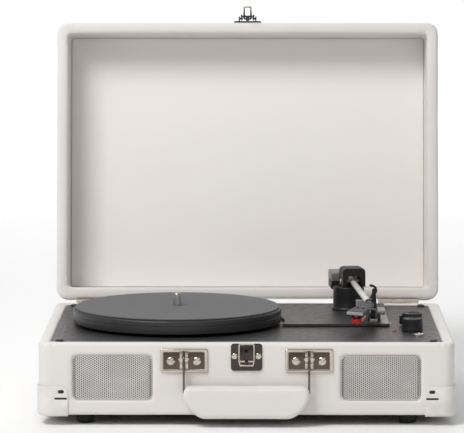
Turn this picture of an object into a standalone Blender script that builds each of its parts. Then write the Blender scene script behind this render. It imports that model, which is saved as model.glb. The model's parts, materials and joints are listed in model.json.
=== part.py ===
"""Suitcase record player: a leatherette-covered case with a hinged lid, a belt-driven
platter, a pivoted tonearm, two front speakers and a padded carrying handle.

Sizes are in millimetres and the helpers below turn them into metres. The world origin is
the centre of the case's underside: +X to the right, +Y to the back, +Z up. The lid stands
open at rest.
"""
from math import acos, cos, pi, radians, sin

import bmesh
import bpy
from mathutils import Vector

MM = 0.001
FIT = 0.3                       # gap between pieces that touch
FINE, ROUND, WIDE, DISC = 12, 16, 28, 56    # facets round small, medium, large and widest pieces

# Case
CASE_W, CASE_D, BASE_H = 349.5, 253.5, 61.3
WALL = 10.25
CORNER_R, INNER_R = 9.5, 3.0
BOTTOM_T = 4.0
DECK_TOP, DECK_T = -1.0, 2.5    # the deck's top lies just under the case's rim
LID_H, LID_TOP_T = 47.0, 4.0
LINER_T = 1.8
RIM_GAP = 0.5
LID_OPEN = 98.5
FOOT_X, FOOT_INSET, FOOT_H = 136.0, 20.0, 8.7
GUARD, GUARD_T = 25.0, 1.2      # corner guards: length of a side, thickness

# Hinges
HINGE_X, HINGE_W, HINGE_LEAF = 138.0, 37.0, 17.5
PIN_BACK, KNUCKLE_R, PIN_R = 3.2, 2.2, 1.1
LEAF_T = 1.3

# Front hardware
GRILLE_X, GRILLE_Z, GRILLE_W, GRILLE_H = 112.5, -29.4, 67.0, 38.0
GRILLE_T, POCKET = 1.6, 2.3
BRACKET_X, BRACKET_Z, BRACKET_W, BRACKET_H = 52.4, -14.8, 40.0, 20.0
PLATE_T = 1.2
STAPLE_OUT, STAPLE_Z, STAPLE_R = 5.5, -13.0, 1.1
LINK_R, LINK_BEND = 0.9, 2.3
GRIP_W, GRIP_TOP, GRIP_BOTTOM, GRIP_T, GRIP_OUT = 107.0, -35.0, -63.0, 12.0, 7.2
LINK_END = GRIP_TOP - 5.0
KEEPER_W, KEEPER_H = 26.0, 22.9
HOOK_TOP, HOOK_ROOF, HOOK_TIP, HOOK_OUT = -5.0, -13.4, -17.0, 7.2
LATCH_W, LATCH_LOW, LATCH_HIGH = 25.0, 4.0, 27.0
LEVER_W, LEVER_UP, LEVER_OUT, LEVER_END = 12.4, 9.0, 4.2, 25.0
LOOP_UP, LOOP_OUT, LOOP_W, LOOP_R, LOOP_LENGTH, LOOP_TILT = 14.5, 4.6, 6.2, 0.8, 29.1, 16.0

# Platter and drive
SPINDLE_X, SPINDLE_Y, SPINDLE_R, SPINDLE_TOP = -60.9, 125.6, 3.55, 27.0
PLATTER_R, PLATTER_LOW, PLATTER_TOP = 91.0, 1.8, 13.2
MAT_R, MAT_T = 89.0, 1.2
RING_R, PULLEY_R, MOTOR_REACH, MOTOR_ANGLE = 57.0, 6.5, 73.0, 130.0
BELT_T = 0.8
MOTOR_R, MOTOR_H = 15.0, 24.0

# Tonearm
PIVOT_X, PIVOT_Y = 94.0, 200.0
PLINTH_TOP = 1.5
PLINTH_LEFT, PLINTH_RIGHT, PLINTH_FRONT, PLINTH_BACK = 12.0, 124.0, 104.0, 238.0
PILLAR_X, PILLAR_R, PILLAR_TOP = 91.0, 13.9, 22.5
ARM_HEADING, ARM_SLOPE, ARM_UP = 8.0, 5.5, 27.0
ARM_LENGTH, TUBE_R = 90.0, 2.6
YOKE_LOW, YOKE_HIGH = -4.0, 12.5            # from the arm's axis
STUB_FROM = 7.0                             # where the counterweight's stub takes over from the tube
SHELL_OFFSET, SHELL_PITCH, SHELL_LENGTH = 24.0, 2.9, 49.0
REST_REACH = 60.0
CLIP_OPEN, CLIP_SIDE, CLIP_DROP = 60.0, 7.6, 3.4
CLIP_UP = ARM_UP - REST_REACH * sin(radians(ARM_SLOPE)) - CLIP_DROP
CUE_X, CUE_Y, CUE_UP, CUE_LENGTH = 111.0, 126.0, 6.0, 24.0

# Controls
KNOB_R, KNOB_H = 9.0, 10.5
VOLUME_X, VOLUME_Y = 142.5, 80.0
SELECTOR_X, SELECTOR_Y = 143.8, 114.0
LED_X, LED_Y = 127.0, 77.0
PHONES_X, PHONES_Y = 146.3, 53.0
SPEED_X, SPEED_Y = 120.0, 168.0
SCREW_X, SCREW_INSET = 157.5, 17.5
JACK_X, JACK_Z, JACK_W, JACK_H = 60.0, -38.0, 86.0, 22.0


def at(across, back, up):
    """A place given across from the middle, back from the front face, up from the rim."""
    return Vector((across, back - CASE_D / 2, up + BASE_H))


LID_PIN = at(0, CASE_D + PIN_BACK, RIM_GAP / 2)


def on_lid(across, back, up):
    """The same place in the lid's own frame, with the lid closed."""
    return at(across, back, up) - LID_PIN


# ---------------------------------------------------------------- helpers

def new_collection(name):
    collection = bpy.data.collections.new(name)
    bpy.context.scene.collection.children.link(collection)
    return collection


def material(name, colour, roughness, metallic=0.0):
    made = bpy.data.materials.new(name)
    made.use_nodes = True
    shader = made.node_tree.nodes["Principled BSDF"]
    shader.inputs["Base Color"].default_value = (*colour, 1.0)
    shader.inputs["Roughness"].default_value = roughness
    shader.inputs["Metallic"].default_value = metallic
    return made


def empty(name, place, parent=None, turn=(0, 0, 0)):
    """An empty on a joint's axis: the frame that a moving body's pieces are placed in."""
    made = bpy.data.objects.new(name, None)
    made.empty_display_size = 0.02
    PARTS.objects.link(made)
    made.parent = parent
    made.location = Vector(place) * MM
    made.rotation_euler = [radians(angle) for angle in turn]
    return made


def add(name, data, place, look, parent, turn=(0, 0, 0)):
    made = bpy.data.objects.new(name, data)
    PARTS.objects.link(made)
    made.parent = parent
    made.location = Vector(place) * MM
    made.rotation_euler = [radians(angle) for angle in turn]
    if look is not None:
        data.materials.append(look)
    return made


def from_bmesh(name, work, place, look, parent, turn=(0, 0, 0), smooth=True):
    mesh = bpy.data.meshes.new(name)
    work.to_mesh(mesh)
    work.free()
    if smooth:
        mesh.shade_smooth()
        mesh.set_sharp_from_angle(angle=radians(35))
    return add(name, mesh, place, look, parent, turn)


def round_caps(work, along, edge):
    """Rounds the rims of a box's two end faces in two steps, by insetting each face."""
    work.normal_update()
    caps = [f for f in work.faces if abs(f.normal[along]) > 0.99]
    for cap in caps:
        outward = 1 if cap.normal[along] > 0 else -1
        for inset, drop in ((0.29, 1.0), (0.71, 0.29)):
            ring = bmesh.ops.inset_region(work, faces=[cap], thickness=inset * edge * MM, use_even_offset=True)
            outer = {vert for face in ring["faces"] for vert in face.verts} - set(cap.verts)
            for vert in outer:
                vert.co[along] -= outward * drop * edge * MM


def block(name, place, size, look=None, parent=None, axis="Z", radius=0.0, steps=5, edge=0.0, taper=1.0):
    """A box with its edges along one axis rounded, and its other edges bevelled.

    taper narrows the box across, towards its -Y end.
    """
    work = bmesh.new()
    bmesh.ops.create_cube(work, size=1.0)
    bmesh.ops.scale(work, vec=Vector(size) * MM, verts=work.verts)
    for vert in work.verts:
        if vert.co.y < 0:
            vert.co.x *= taper
    along = "XYZ".index(axis)
    if radius:
        span = size[along] * MM * 0.99
        edges = [e for e in work.edges if abs(e.verts[0].co[along] - e.verts[1].co[along]) > span]
        bmesh.ops.bevel(work, geom=edges, offset=radius * MM, segments=steps, affect="EDGES", profile=0.5)
    if edge:
        round_caps(work, along, edge)
    return from_bmesh(name, work, place, look, parent)


def rod(name, place, radius, length, look=None, parent=None, axis="Z", sides=ROUND, end_radius=None):
    """A cylinder or cone along an axis, centred on its place."""
    work = bmesh.new()
    second = radius if end_radius is None else end_radius
    bmesh.ops.create_cone(work, cap_ends=True, segments=sides, radius1=radius * MM,
                          radius2=second * MM, depth=length * MM)
    turn = {"X": (0, 90, 0), "Y": (-90, 0, 0), "Z": (0, 0, 0)}[axis]
    return from_bmesh(name, work, place, look, parent, turn)


def turned(name, place, profile, look=None, parent=None, steps=WIDE, closed=False, turn=(0, 0, 0)):
    """A turned piece from its (radius, height) points, listed down its outer side."""
    mesh = bpy.data.meshes.new(name)
    points = [(radius * MM, 0.0, height * MM) for radius, height in profile]
    edges = [(i, i + 1) for i in range(len(points) - 1)]
    if closed:
        edges.append((len(points) - 1, 0))
    mesh.from_pydata(points, edges, [])
    made = add(name, mesh, place, look, parent, turn)
    screw = made.modifiers.new("Screw", "SCREW")
    screw.steps = steps
    screw.render_steps = steps
    screw.use_merge_vertices = True
    screw.merge_threshold = 0.00001
    screw.use_smooth_shade = True
    return made


def wire(name, place, points, radius, look, parent, closed=True, turn=(0, 0, 0)):
    """A round wire through its points."""
    curve = bpy.data.curves.new(name, "CURVE")
    curve.dimensions = "3D"
    curve.bevel_depth = radius * MM
    curve.bevel_resolution = 2
    curve.use_fill_caps = not closed
    spline = curve.splines.new("POLY")
    spline.points.add(len(points) - 1)
    for slot, point in zip(spline.points, points):
        slot.co = (*(Vector(point) * MM), 1.0)
    spline.use_cyclic_u = closed
    return add(name, curve, place, look, parent, turn)


def plate_outline(name, place, loops, thickness, look, parent=None):
    """A flat piece with the given closed outlines; an outline inside another is a hole."""
    curve = bpy.data.curves.new(name, "CURVE")
    curve.dimensions = "2D"
    curve.fill_mode = "BOTH"
    curve.extrude = thickness / 2 * MM
    for points in loops:
        spline = curve.splines.new("POLY")
        spline.points.add(len(points) - 1)
        for slot, (x, y) in zip(spline.points, points):
            slot.co = (x * MM, y * MM, 0.0, 1.0)
        spline.use_cyclic_u = True
    return add(name, curve, place, look, parent)


def as_tool(tool):
    for collection in list(tool.users_collection):
        collection.objects.unlink(tool)
    TOOLS.objects.link(tool)
    tool.hide_render = True
    tool.display_type = "WIRE"


def boolean(target, tool, operation):
    as_tool(tool)
    change = target.modifiers.new(tool.name, "BOOLEAN")
    change.operation = operation
    change.solver = "EXACT"
    change.object = tool
    return target


def cut(target, *tools):
    for tool in tools:
        boolean(target, tool, "DIFFERENCE")
    return target


def join(target, *tools):
    for tool in tools:
        boolean(target, tool, "UNION")
    return target


def sides():
    return (("left", -1), ("right", 1))


def corners():
    """The case's four corners: name, side across, side back."""
    return [(f"{end}_{side}", sx, sy) for end, sy in (("front", -1), ("rear", 1)) for side, sx in sides()]


def arc(centre, radius, first, last, steps):
    """Points along an arc, with its angles in radians."""
    turns = [first + (last - first) * i / steps for i in range(steps + 1)]
    return [(centre[0] + radius * cos(t), centre[1] + radius * sin(t)) for t in turns]


# ---------------------------------------------------------------- case

def base_case():
    shell = block("base_shell", at(0, CASE_D / 2, -BASE_H / 2), (CASE_W, CASE_D, BASE_H), LEATHERETTE,
                  radius=CORNER_R, steps=6, edge=1.5)
    hollow = (CASE_W - 2 * WALL, CASE_D - 2 * WALL, BASE_H + 4)
    cut(shell, block("base_hollow", at(0, CASE_D / 2, -BASE_H / 2), hollow, radius=INNER_R, steps=3))
    for side, sx in sides():
        pocket = (GRILLE_W + 2 * FIT, 2 * POCKET, GRILLE_H + 2 * FIT)
        opening = (GRILLE_W - 9, 4 * WALL, GRILLE_H - 8)
        centre = at(sx * GRILLE_X, 0, GRILLE_Z)
        cut(shell, block(f"pocket_{side}", centre, pocket, axis="Y", radius=4.3, steps=4))
        cut(shell, block(f"aperture_{side}", centre, opening, axis="Y", radius=9.0, steps=4))
    centre = at(JACK_X, CASE_D, JACK_Z)
    cut(shell, block("jack_pocket", centre, (JACK_W + 2 * FIT, 5.0, JACK_H + 2 * FIT), axis="Y", radius=2.3))
    cut(shell, block("jack_aperture", centre, (JACK_W - 8, 4 * WALL, JACK_H - 6), axis="Y", radius=2.0))
    inside = (CASE_W - 2 * WALL - 2 * FIT, CASE_D - 2 * WALL - 2 * FIT)
    block("bottom_panel", at(0, CASE_D / 2, BOTTOM_T / 2 - BASE_H), (*inside, BOTTOM_T), HARDBOARD,
          radius=INNER_R, steps=3)
    for name, sx, sy in corners():
        place = at(sx * FOOT_X, CASE_D / 2 + sy * (CASE_D / 2 - FOOT_INSET), -BASE_H - FIT)
        turned(f"foot_{name}", place, [(0, 0), (8.0, 0), (8.0, -1.5), (6.75, -FOOT_H + 0.8),
                                       (6.0, -FOOT_H), (0, -FOOT_H)], RUBBER, steps=ROUND)


def corner_guard(name, sx, sy, middle, up, parent, look):
    """A cap over one corner of a box whose flat end looks along up (-1 down, 1 up)."""
    half_w, half_d = CASE_W / 2, CASE_D / 2
    spare = 4.0
    size = GUARD + GUARD_T + spare
    tip = middle + Vector((sx * (half_w + GUARD_T), sy * (half_d + GUARD_T), up * GUARD_T))
    inward = Vector((-sx, -sy, -up))
    guard = block(name, tip + inward * (size / 2 - spare), (size, size, size), look, parent)
    hull = block(f"{name}_hull", tip + inward * 40, (80, 80, 80), None, parent, radius=CORNER_R + GUARD_T,
                 steps=6, edge=2.0)
    boolean(guard, hull, "INTERSECT")
    core = block(f"{name}_core", middle + Vector((0, 0, -up * 40)),
                 (CASE_W + 2 * FIT, CASE_D + 2 * FIT, 80 + 2 * FIT), None, parent,
                 radius=CORNER_R + FIT, steps=6, edge=1.5)
    cut(guard, core)


def guards():
    for name, sx, sy in corners():
        corner_guard(f"base_corner_{name}", sx, sy, at(0, CASE_D / 2, -BASE_H), -1, None, CREAM_PLASTIC)
        corner_guard(f"lid_corner_{name}", sx, sy, on_lid(0, CASE_D / 2, RIM_GAP + LID_H), 1, LID,
                     CREAM_PLASTIC)


def lid_case():
    middle = RIM_GAP + LID_H / 2
    shell = block("lid_shell", on_lid(0, CASE_D / 2, middle), (CASE_W, CASE_D, LID_H), LEATHERETTE, LID,
                  radius=CORNER_R, steps=6, edge=1.5)
    hollow = (CASE_W - 2 * WALL, CASE_D - 2 * WALL, LID_H)
    cut(shell, block("lid_hollow", on_lid(0, CASE_D / 2, middle - LID_TOP_T), hollow, None, LID,
                     radius=INNER_R, steps=3))
    inside = (CASE_W - 2 * WALL - 2.4, CASE_D - 2 * WALL - 2.4, LINER_T)
    under = RIM_GAP + LID_H - LID_TOP_T - FIT - LINER_T / 2
    block("lid_liner", on_lid(0, CASE_D / 2, under), inside, LINER, LID, radius=2.0, steps=2)


def hinge(side, sx):
    """A butt hinge: its fixed leaf holds the pin, its other leaf turns with the lid."""
    third = HINGE_W / 3
    middle = sx * HINGE_X
    leaf_y = CASE_D + FIT + LEAF_T / 2
    start = KNUCKLE_R + FIT
    tab_depth = PIN_BACK - FIT - 0.4
    tab_y = CASE_D + FIT + tab_depth / 2

    name = f"hinge_leaf_base_{side}"
    height = HINGE_LEAF - start
    leaf = block(name, at(middle, leaf_y, RIM_GAP / 2 - start - height / 2), (HINGE_W, LEAF_T, height), NICKEL)
    for end in (-1, 1):
        across = middle + end * (third + FIT / 2)
        width = third - FIT
        tag = "a" if end < 0 else "b"
        join(leaf, block(f"{name}_tab_{tag}", at(across, tab_y, RIM_GAP / 2 - start / 2 - 0.8),
                         (width, tab_depth, start + 1)))
        join(leaf, rod(f"{name}_knuckle_{tag}", LID_PIN + Vector((across, 0, 0)), KNUCKLE_R, width,
                       axis="X", sides=ROUND))
    join(leaf, rod(f"{name}_pin", LID_PIN + Vector((middle, 0, 0)), PIN_R, HINGE_W - 1, axis="X", sides=FINE))

    name = f"hinge_leaf_lid_{side}"
    width = third - FIT
    leaf = block(name, on_lid(middle, leaf_y, RIM_GAP / 2 + start + height / 2), (HINGE_W, LEAF_T, height),
                 NICKEL, LID)
    join(leaf, block(f"{name}_tab", on_lid(middle, tab_y, RIM_GAP / 2 + start / 2 + 0.8),
                     (width, tab_depth, start + 1), None, LID))
    join(leaf, rod(f"{name}_knuckle", (middle, 0, 0), KNUCKLE_R, width, None, LID, axis="X", sides=ROUND))
    cut(leaf, rod(f"{name}_bore", (middle, 0, 0), PIN_R + 0.15, width + 2, None, LID, axis="X", sides=FINE))


# ---------------------------------------------------------------- front hardware

def speaker(side, sx):
    """A grille plate in its pocket, and the driver behind the wall."""
    block(f"speaker_grille_{side}", at(sx * GRILLE_X, 0.4 + GRILLE_T / 2, GRILLE_Z),
          (GRILLE_W, GRILLE_T, GRILLE_H), GRILLE, axis="Y", radius=4.0, steps=4)
    name = f"speaker_{side}"
    face = WALL + FIT
    driver = block(name, at(sx * GRILLE_X, face + 1.0, GRILLE_Z), (70, 2.0, 42), BLACK_METAL, axis="Y",
                   radius=16.0, steps=5)
    join(driver, rod(f"{name}_basket", at(sx * GRILLE_X, face + 7.5, GRILLE_Z), 19.5, 13.0, axis="Y",
                     sides=ROUND, end_radius=15.0))
    join(driver, rod(f"{name}_magnet", at(sx * GRILLE_X, face + 18.0, GRILLE_Z), 17.0, 9.0, axis="Y",
                     sides=ROUND))
    cut(driver, rod(f"{name}_cone", at(sx * GRILLE_X, face + 4.0, GRILLE_Z), 17.5, 9.0, axis="Y",
                    sides=ROUND, end_radius=7.0))


def handle_bracket(side, sx):
    """A screwed plate with the staple that a handle link hangs on."""
    name = f"handle_bracket_{side}"
    middle = sx * BRACKET_X
    front = -FIT - PLATE_T
    plate = block(name, at(middle, -FIT - PLATE_T / 2, BRACKET_Z), (BRACKET_W, PLATE_T, BRACKET_H), NICKEL,
                  axis="Y", radius=1.2, steps=2)
    for end, tag in ((-1, "a"), (1, "b")):
        depth = STAPLE_OUT + STAPLE_R + front
        join(plate, block(f"{name}_post_{tag}", at(middle + end * 4.6, front - depth / 2 + 0.2, STAPLE_Z),
                          (1.8, depth + 0.4, 2.2)))
        join(plate, rod(f"{name}_screw_{tag}", at(middle + end * 10.8, front - 0.5, BRACKET_Z), 2.6, 1.6,
                        axis="Y", sides=FINE, end_radius=3.4))
    join(plate, rod(f"{name}_bar", at(middle, -STAPLE_OUT, STAPLE_Z), STAPLE_R, 10.4, axis="X", sides=FINE))


def handle():
    """The padded grip and the two steel links that hang it on the brackets."""
    drop = GRIP_TOP - GRIP_BOTTOM
    axis = at(0, -STAPLE_OUT, STAPLE_Z)
    grip = block("handle_grip", at(0, -GRIP_OUT, (GRIP_TOP + GRIP_BOTTOM) / 2) - axis, (GRIP_W, GRIP_T, drop),
                 LEATHERETTE, HANDLE, axis="Y", radius=0.0)
    for name, corner, width in (("grip_lower", 16.0, GRIP_W), ("grip_upper", 4.0, GRIP_W)):
        lift = 30.0 if name == "grip_lower" else -30.0
        tall = (width, GRIP_T + 4, drop + 60)
        place = at(0, -GRIP_OUT, (GRIP_TOP + GRIP_BOTTOM) / 2 + lift) - axis
        boolean(grip, block(name, place, tall, None, HANDLE, axis="Y", radius=corner, steps=6), "INTERSECT")
    for side, sx in sides():
        across = sx * BRACKET_X
        slot_low = LINK_END - LINK_BEND - 2.0
        cut(grip, block(f"grip_slot_{side}", at(across, -GRIP_OUT, (slot_low + GRIP_TOP + 2) / 2) - axis,
                        (3.2, 8.4, GRIP_TOP + 2 - slot_low), None, HANDLE))
        top = arc((0, 0), LINK_BEND, 0, pi, 6)
        low_y = -(GRIP_OUT - STAPLE_OUT)
        low = arc((low_y, LINK_END - STAPLE_Z), LINK_BEND, pi, 2 * pi, 6)
        path = [(0, y, z) for y, z in top + low]
        wire(f"handle_link_{side}", (across, 0, 0), path, LINK_R, NICKEL, HANDLE)


def latch_keeper():
    """The base's half of the latch: a plate with a down-turned hook."""
    front = -FIT - PLATE_T
    plate = block("latch_keeper", at(0, -FIT - PLATE_T / 2, -FIT - KEEPER_H / 2), (KEEPER_W, PLATE_T, KEEPER_H),
                  NICKEL, axis="Y", radius=2.0, steps=3)
    for end, tag in ((-1, "a"), (1, "b")):
        join(plate, block(f"keeper_ridge_{tag}", at(end * 5.9, front - 0.6, -10.3), (1.0, 1.6, 19.0)))
        join(plate, rod(f"keeper_screw_{tag}", at(end * 10.0, front - 0.5, -10.2), 1.7, 1.6, axis="Y",
                        sides=FINE, end_radius=2.4))
    root = (3.0, HOOK_OUT + front + 0.4, HOOK_TOP - HOOK_ROOF)
    join(plate, block("keeper_hook", at(0, (front - HOOK_OUT + 0.4) / 2, (HOOK_TOP + HOOK_ROOF) / 2), root,
                      axis="X", radius=0.8, steps=2))
    join(plate, block("keeper_lip", at(0, -HOOK_OUT + 0.65, (HOOK_TOP + HOOK_TIP) / 2),
                      (3.0, 1.3, HOOK_TOP - HOOK_TIP - 1.0)))


def lid_latch():
    """The lid's half: a plate with ears, a lever pivoted in them, and its wire loop."""
    front = -FIT - PLATE_T
    plate = block("latch_plate", on_lid(0, -FIT - PLATE_T / 2, (LATCH_LOW + LATCH_HIGH) / 2),
                  (LATCH_W, PLATE_T, LATCH_HIGH - LATCH_LOW), NICKEL, LID, axis="Y", radius=2.0, steps=3)
    ear_depth = LEVER_OUT + 2.0 + front
    for end, tag in ((-1, "a"), (1, "b")):
        join(plate, block(f"latch_ear_{tag}", on_lid(end * 7.6, front - ear_depth / 2 + 0.2, LEVER_UP),
                          (1.2, ear_depth + 0.4, 6.0), None, LID, axis="X", radius=1.6, steps=3))
        join(plate, rod(f"latch_rivet_{tag}", on_lid(end * 10.0, front - 0.5, 18.0), 1.4, 1.6, None, LID,
                        axis="Y", sides=FINE, end_radius=2.0))
    cut(plate, rod("latch_ear_bore", on_lid(0, -LEVER_OUT, LEVER_UP), 1.1, 24, None, LID, axis="X", sides=FINE))

    def on_lever(across, back, up):
        return on_lid(across, back, up) - on_lid(0, -LEVER_OUT, LEVER_UP)

    outside = LEVER_OUT + 3.6
    lever = block("latch_lever", on_lever(0, -outside + 0.7, (15.5 + LEVER_END) / 2),
                  (LEVER_W, 1.4, LEVER_END - 15.5), NICKEL, LEVER)
    for end, tag in ((-1, "a"), (1, "b")):
        flange = on_lever(end * 5.6, -(outside + 3.0) / 2, (7.0 + LEVER_END) / 2)
        join(lever, block(f"lever_flange_{tag}", flange, (1.2, outside - 3.0, LEVER_END - 7.0), None, LEVER))
    join(lever, rod("lever_pin", (0, 0, 0), 0.9, 16.2, None, LEVER, axis="X", sides=FINE))
    join(lever, block("lever_lug", on_lever(0, -(outside + 2.9) / 2 + 0.4, 15.3), (3.0, outside - 3.4, 5.4),
                      None, LEVER))
    cut(lever, block("lever_gap", on_lever(0, -LEVER_OUT + 0.2, LEVER_UP), (8.6, 4.0, 4.0), None, LEVER))
    cut(lever, rod("lever_bore", on_lever(0, -LOOP_OUT, LOOP_UP), 1.1, 8.0, None, LEVER, axis="X", sides=FINE))

    half = LOOP_W / 2
    bend = 1.2
    path = []
    for centre, first in (((half - bend, -bend), pi / 2), ((half - bend, -LOOP_LENGTH + bend), 0),
                          ((-half + bend, -LOOP_LENGTH + bend), -pi / 2), ((-half + bend, -bend), -pi)):
        path += arc(centre, bend, first, first - pi / 2, 3)
    wire("latch_loop", (0, 0, 0), [(x, 0, z) for x, z in path], LOOP_R, NICKEL, LOOP)


# ---------------------------------------------------------------- deck, platter and drive

def screw_places():
    return [at(sx * SCREW_X, CASE_D / 2 + sy * (CASE_D / 2 - SCREW_INSET), DECK_TOP) for _, sx, sy in corners()]


def motor_place(up):
    turn = radians(MOTOR_ANGLE)
    return at(SPINDLE_X + MOTOR_REACH * cos(turn), SPINDLE_Y + MOTOR_REACH * sin(turn), up)


def deck():
    size = (CASE_W - 2 * WALL - 2 * FIT, CASE_D - 2 * WALL - 2 * FIT, DECK_T)
    plate = block("deck_plate", at(0, CASE_D / 2, DECK_TOP - DECK_T / 2), size, BLACK_PLASTIC,
                  radius=INNER_R, steps=3)
    for i, place in enumerate(screw_places()):
        join(plate, rod(f"deck_screw_{i}", place + Vector((0, 0, 0.8)), 3.2, 2.0, sides=FINE, end_radius=2.2))
    middle = DECK_TOP - DECK_T / 2
    holes = {"spindle": (at(SPINDLE_X, SPINDLE_Y, middle), SPINDLE_R + 0.6),
             "pulley": (motor_place(middle), 9.5),
             "volume": (at(VOLUME_X, VOLUME_Y, middle), 4.0),
             "selector": (at(SELECTOR_X, SELECTOR_Y, middle), 4.0),
             "led": (at(LED_X, LED_Y, middle), 1.8),
             "phones": (at(PHONES_X, PHONES_Y, middle), 3.4)}
    for name, (place, radius) in holes.items():
        cut(plate, rod(f"deck_hole_{name}", place, radius, DECK_T * 3, sides=ROUND))
    cut(plate, block("deck_hole_speed", at(SPEED_X, SPEED_Y, middle), (3.6, 18.0, DECK_T * 3)))


def plinth():
    """The raised plate under the tonearm, hollowed round the platter."""
    low = DECK_TOP + FIT
    middle = (low + PLINTH_TOP) / 2
    size = (PLINTH_RIGHT - PLINTH_LEFT, PLINTH_BACK - PLINTH_FRONT, PLINTH_TOP - low)
    place = at((PLINTH_LEFT + PLINTH_RIGHT) / 2, (PLINTH_FRONT + PLINTH_BACK) / 2, middle)
    plate = block("tonearm_plinth", place, size, BLACK_PLASTIC, radius=2.0, steps=2)
    for end, tag in ((-1, "a"), (1, "b")):
        join(plate, block(f"cue_ear_{tag}", at(CUE_X + end * 4.5, CUE_Y, (PLINTH_TOP + CUE_UP + 3) / 2 - 0.2),
                          (2.2, 8.0, CUE_UP + 3 - PLINTH_TOP + 0.4), axis="X", radius=2.5, steps=3))
    cut(plate, rod("cue_bore", at(CUE_X, CUE_Y, CUE_UP), 1.3, 16, axis="X", sides=FINE))
    cut(plate, rod("platter_hollow", at(SPINDLE_X, SPINDLE_Y, middle), PLATTER_R + 3.0, 20.0, sides=DISC))
    cut(plate, block("speed_slot", at(SPEED_X, SPEED_Y, middle), (3.0, 15.5, 12.0)))


def platter_and_drive():
    top, low = PLATTER_TOP, PLATTER_LOW
    under = top - 2.2
    hub_r, bore_r, skirt = 9.0, SPINDLE_R + 0.2, 2.2
    profile = [(bore_r, top), (PLATTER_R - 1.0, top), (PLATTER_R, top - 1.0), (PLATTER_R, low),
               (PLATTER_R - skirt, low), (PLATTER_R - skirt, under), (RING_R, under), (RING_R, low + 0.6),
               (RING_R - 2.0, low + 0.6), (RING_R - 2.0, under), (hub_r, under), (hub_r, low), (bore_r, low)]
    turned("platter", (0, 0, 0), profile, BLACK_PLASTIC, PLATTER, steps=DISC, closed=True)
    mat_low = top + FIT
    turned("slipmat", (0, 0, 0), [(4.2, mat_low + MAT_T), (MAT_R, mat_low + MAT_T), (MAT_R, mat_low),
                                  (4.2, mat_low)], FELT, PLATTER, steps=DISC, closed=True)
    deck_under = DECK_TOP - DECK_T
    turned("spindle", at(SPINDLE_X, SPINDLE_Y, 0),
           [(0, SPINDLE_TOP), (1.6, SPINDLE_TOP - 0.2), (2.9, SPINDLE_TOP - 1.2), (SPINDLE_R, SPINDLE_TOP - 3),
            (SPINDLE_R, deck_under - FIT), (9.0, deck_under - FIT), (9.0, deck_under - 3),
            (4.5, deck_under - 3),
            (4.5, deck_under - 8), (0, deck_under - 8)], STEEL, steps=ROUND)
    motor_top = deck_under - FIT
    turned("drive_motor", motor_place(0),
           [(0, motor_top + 1.0), (4.0, motor_top + 1.0), (4.0, motor_top), (MOTOR_R, motor_top),
            (MOTOR_R, motor_top - MOTOR_H), (0, motor_top - MOTOR_H)], STEEL, steps=WIDE)
    turned("motor_pulley", (0, 0, 0),
           [(0, 9.6), (PULLEY_R + 0.9, 9.6), (PULLEY_R + 0.9, 8.8), (PULLEY_R, 8.2), (PULLEY_R, 3.8),
            (PULLEY_R + 0.9, 3.2), (PULLEY_R + 0.9, 2.4), (1.2, 2.4), (1.2, motor_top + 1.0 + FIT),
            (0, motor_top + 1.0 + FIT)], BRASS, PULLEY, steps=ROUND)
    belt()


def belt_loop(thickness):
    """The belt's outline round the platter's drive ring and the motor pulley."""
    big, small = RING_R + thickness, PULLEY_R + thickness
    turn = radians(MOTOR_ANGLE)
    meet = acos((big - small) / MOTOR_REACH)
    centre = (MOTOR_REACH * cos(turn), MOTOR_REACH * sin(turn))
    return (arc((0, 0), big, turn + meet, turn + 2 * pi - meet, 40)
            + arc(centre, small, turn - meet, turn + meet, 8))


def belt():
    plate_outline("drive_belt", at(SPINDLE_X, SPINDLE_Y, 6.0), [belt_loop(FIT + BELT_T), belt_loop(FIT)], 3.6,
                  RUBBER)


def electronics():
    board = block("circuit_board", at(60, 205, -47.0), (84, 50, 1.6), BOARD)
    join(board, rod("capacitor_a", at(32, 212, -40.0), 5.0, 13.0, sides=FINE))
    join(board, rod("capacitor_b", at(46, 216, -41.5), 4.0, 10.0, sides=FINE))
    join(board, block("heat_sink", at(78, 200, -40.0), (22, 8, 13)))
    deck_under = DECK_TOP - DECK_T - FIT
    for name, x, y in (("volume_pot", VOLUME_X, VOLUME_Y), ("selector_switch", SELECTOR_X, SELECTOR_Y)):
        turned(name, at(x, y, 0), [(0, 6.0), (2.9, 6.0), (2.9, deck_under), (8.2, deck_under),
                                   (8.2, deck_under - 9), (0, deck_under - 9)], STEEL, steps=ROUND)
    turned("power_led", at(LED_X, LED_Y, 0), [(0, 0.5), (0.9, 0.2), (1.45, -0.6), (1.45, -6.0), (0, -6.0)], RED,
           steps=FINE)
    turned("headphone_jack", at(PHONES_X, PHONES_Y, 0),
           [(1.8, 0.9), (4.0, 0.9), (4.6, DECK_TOP + FIT), (3.1, DECK_TOP + FIT), (3.1, -14.0), (1.8, -14.0)],
           NICKEL, steps=ROUND, closed=True)
    jack_panel()


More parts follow.
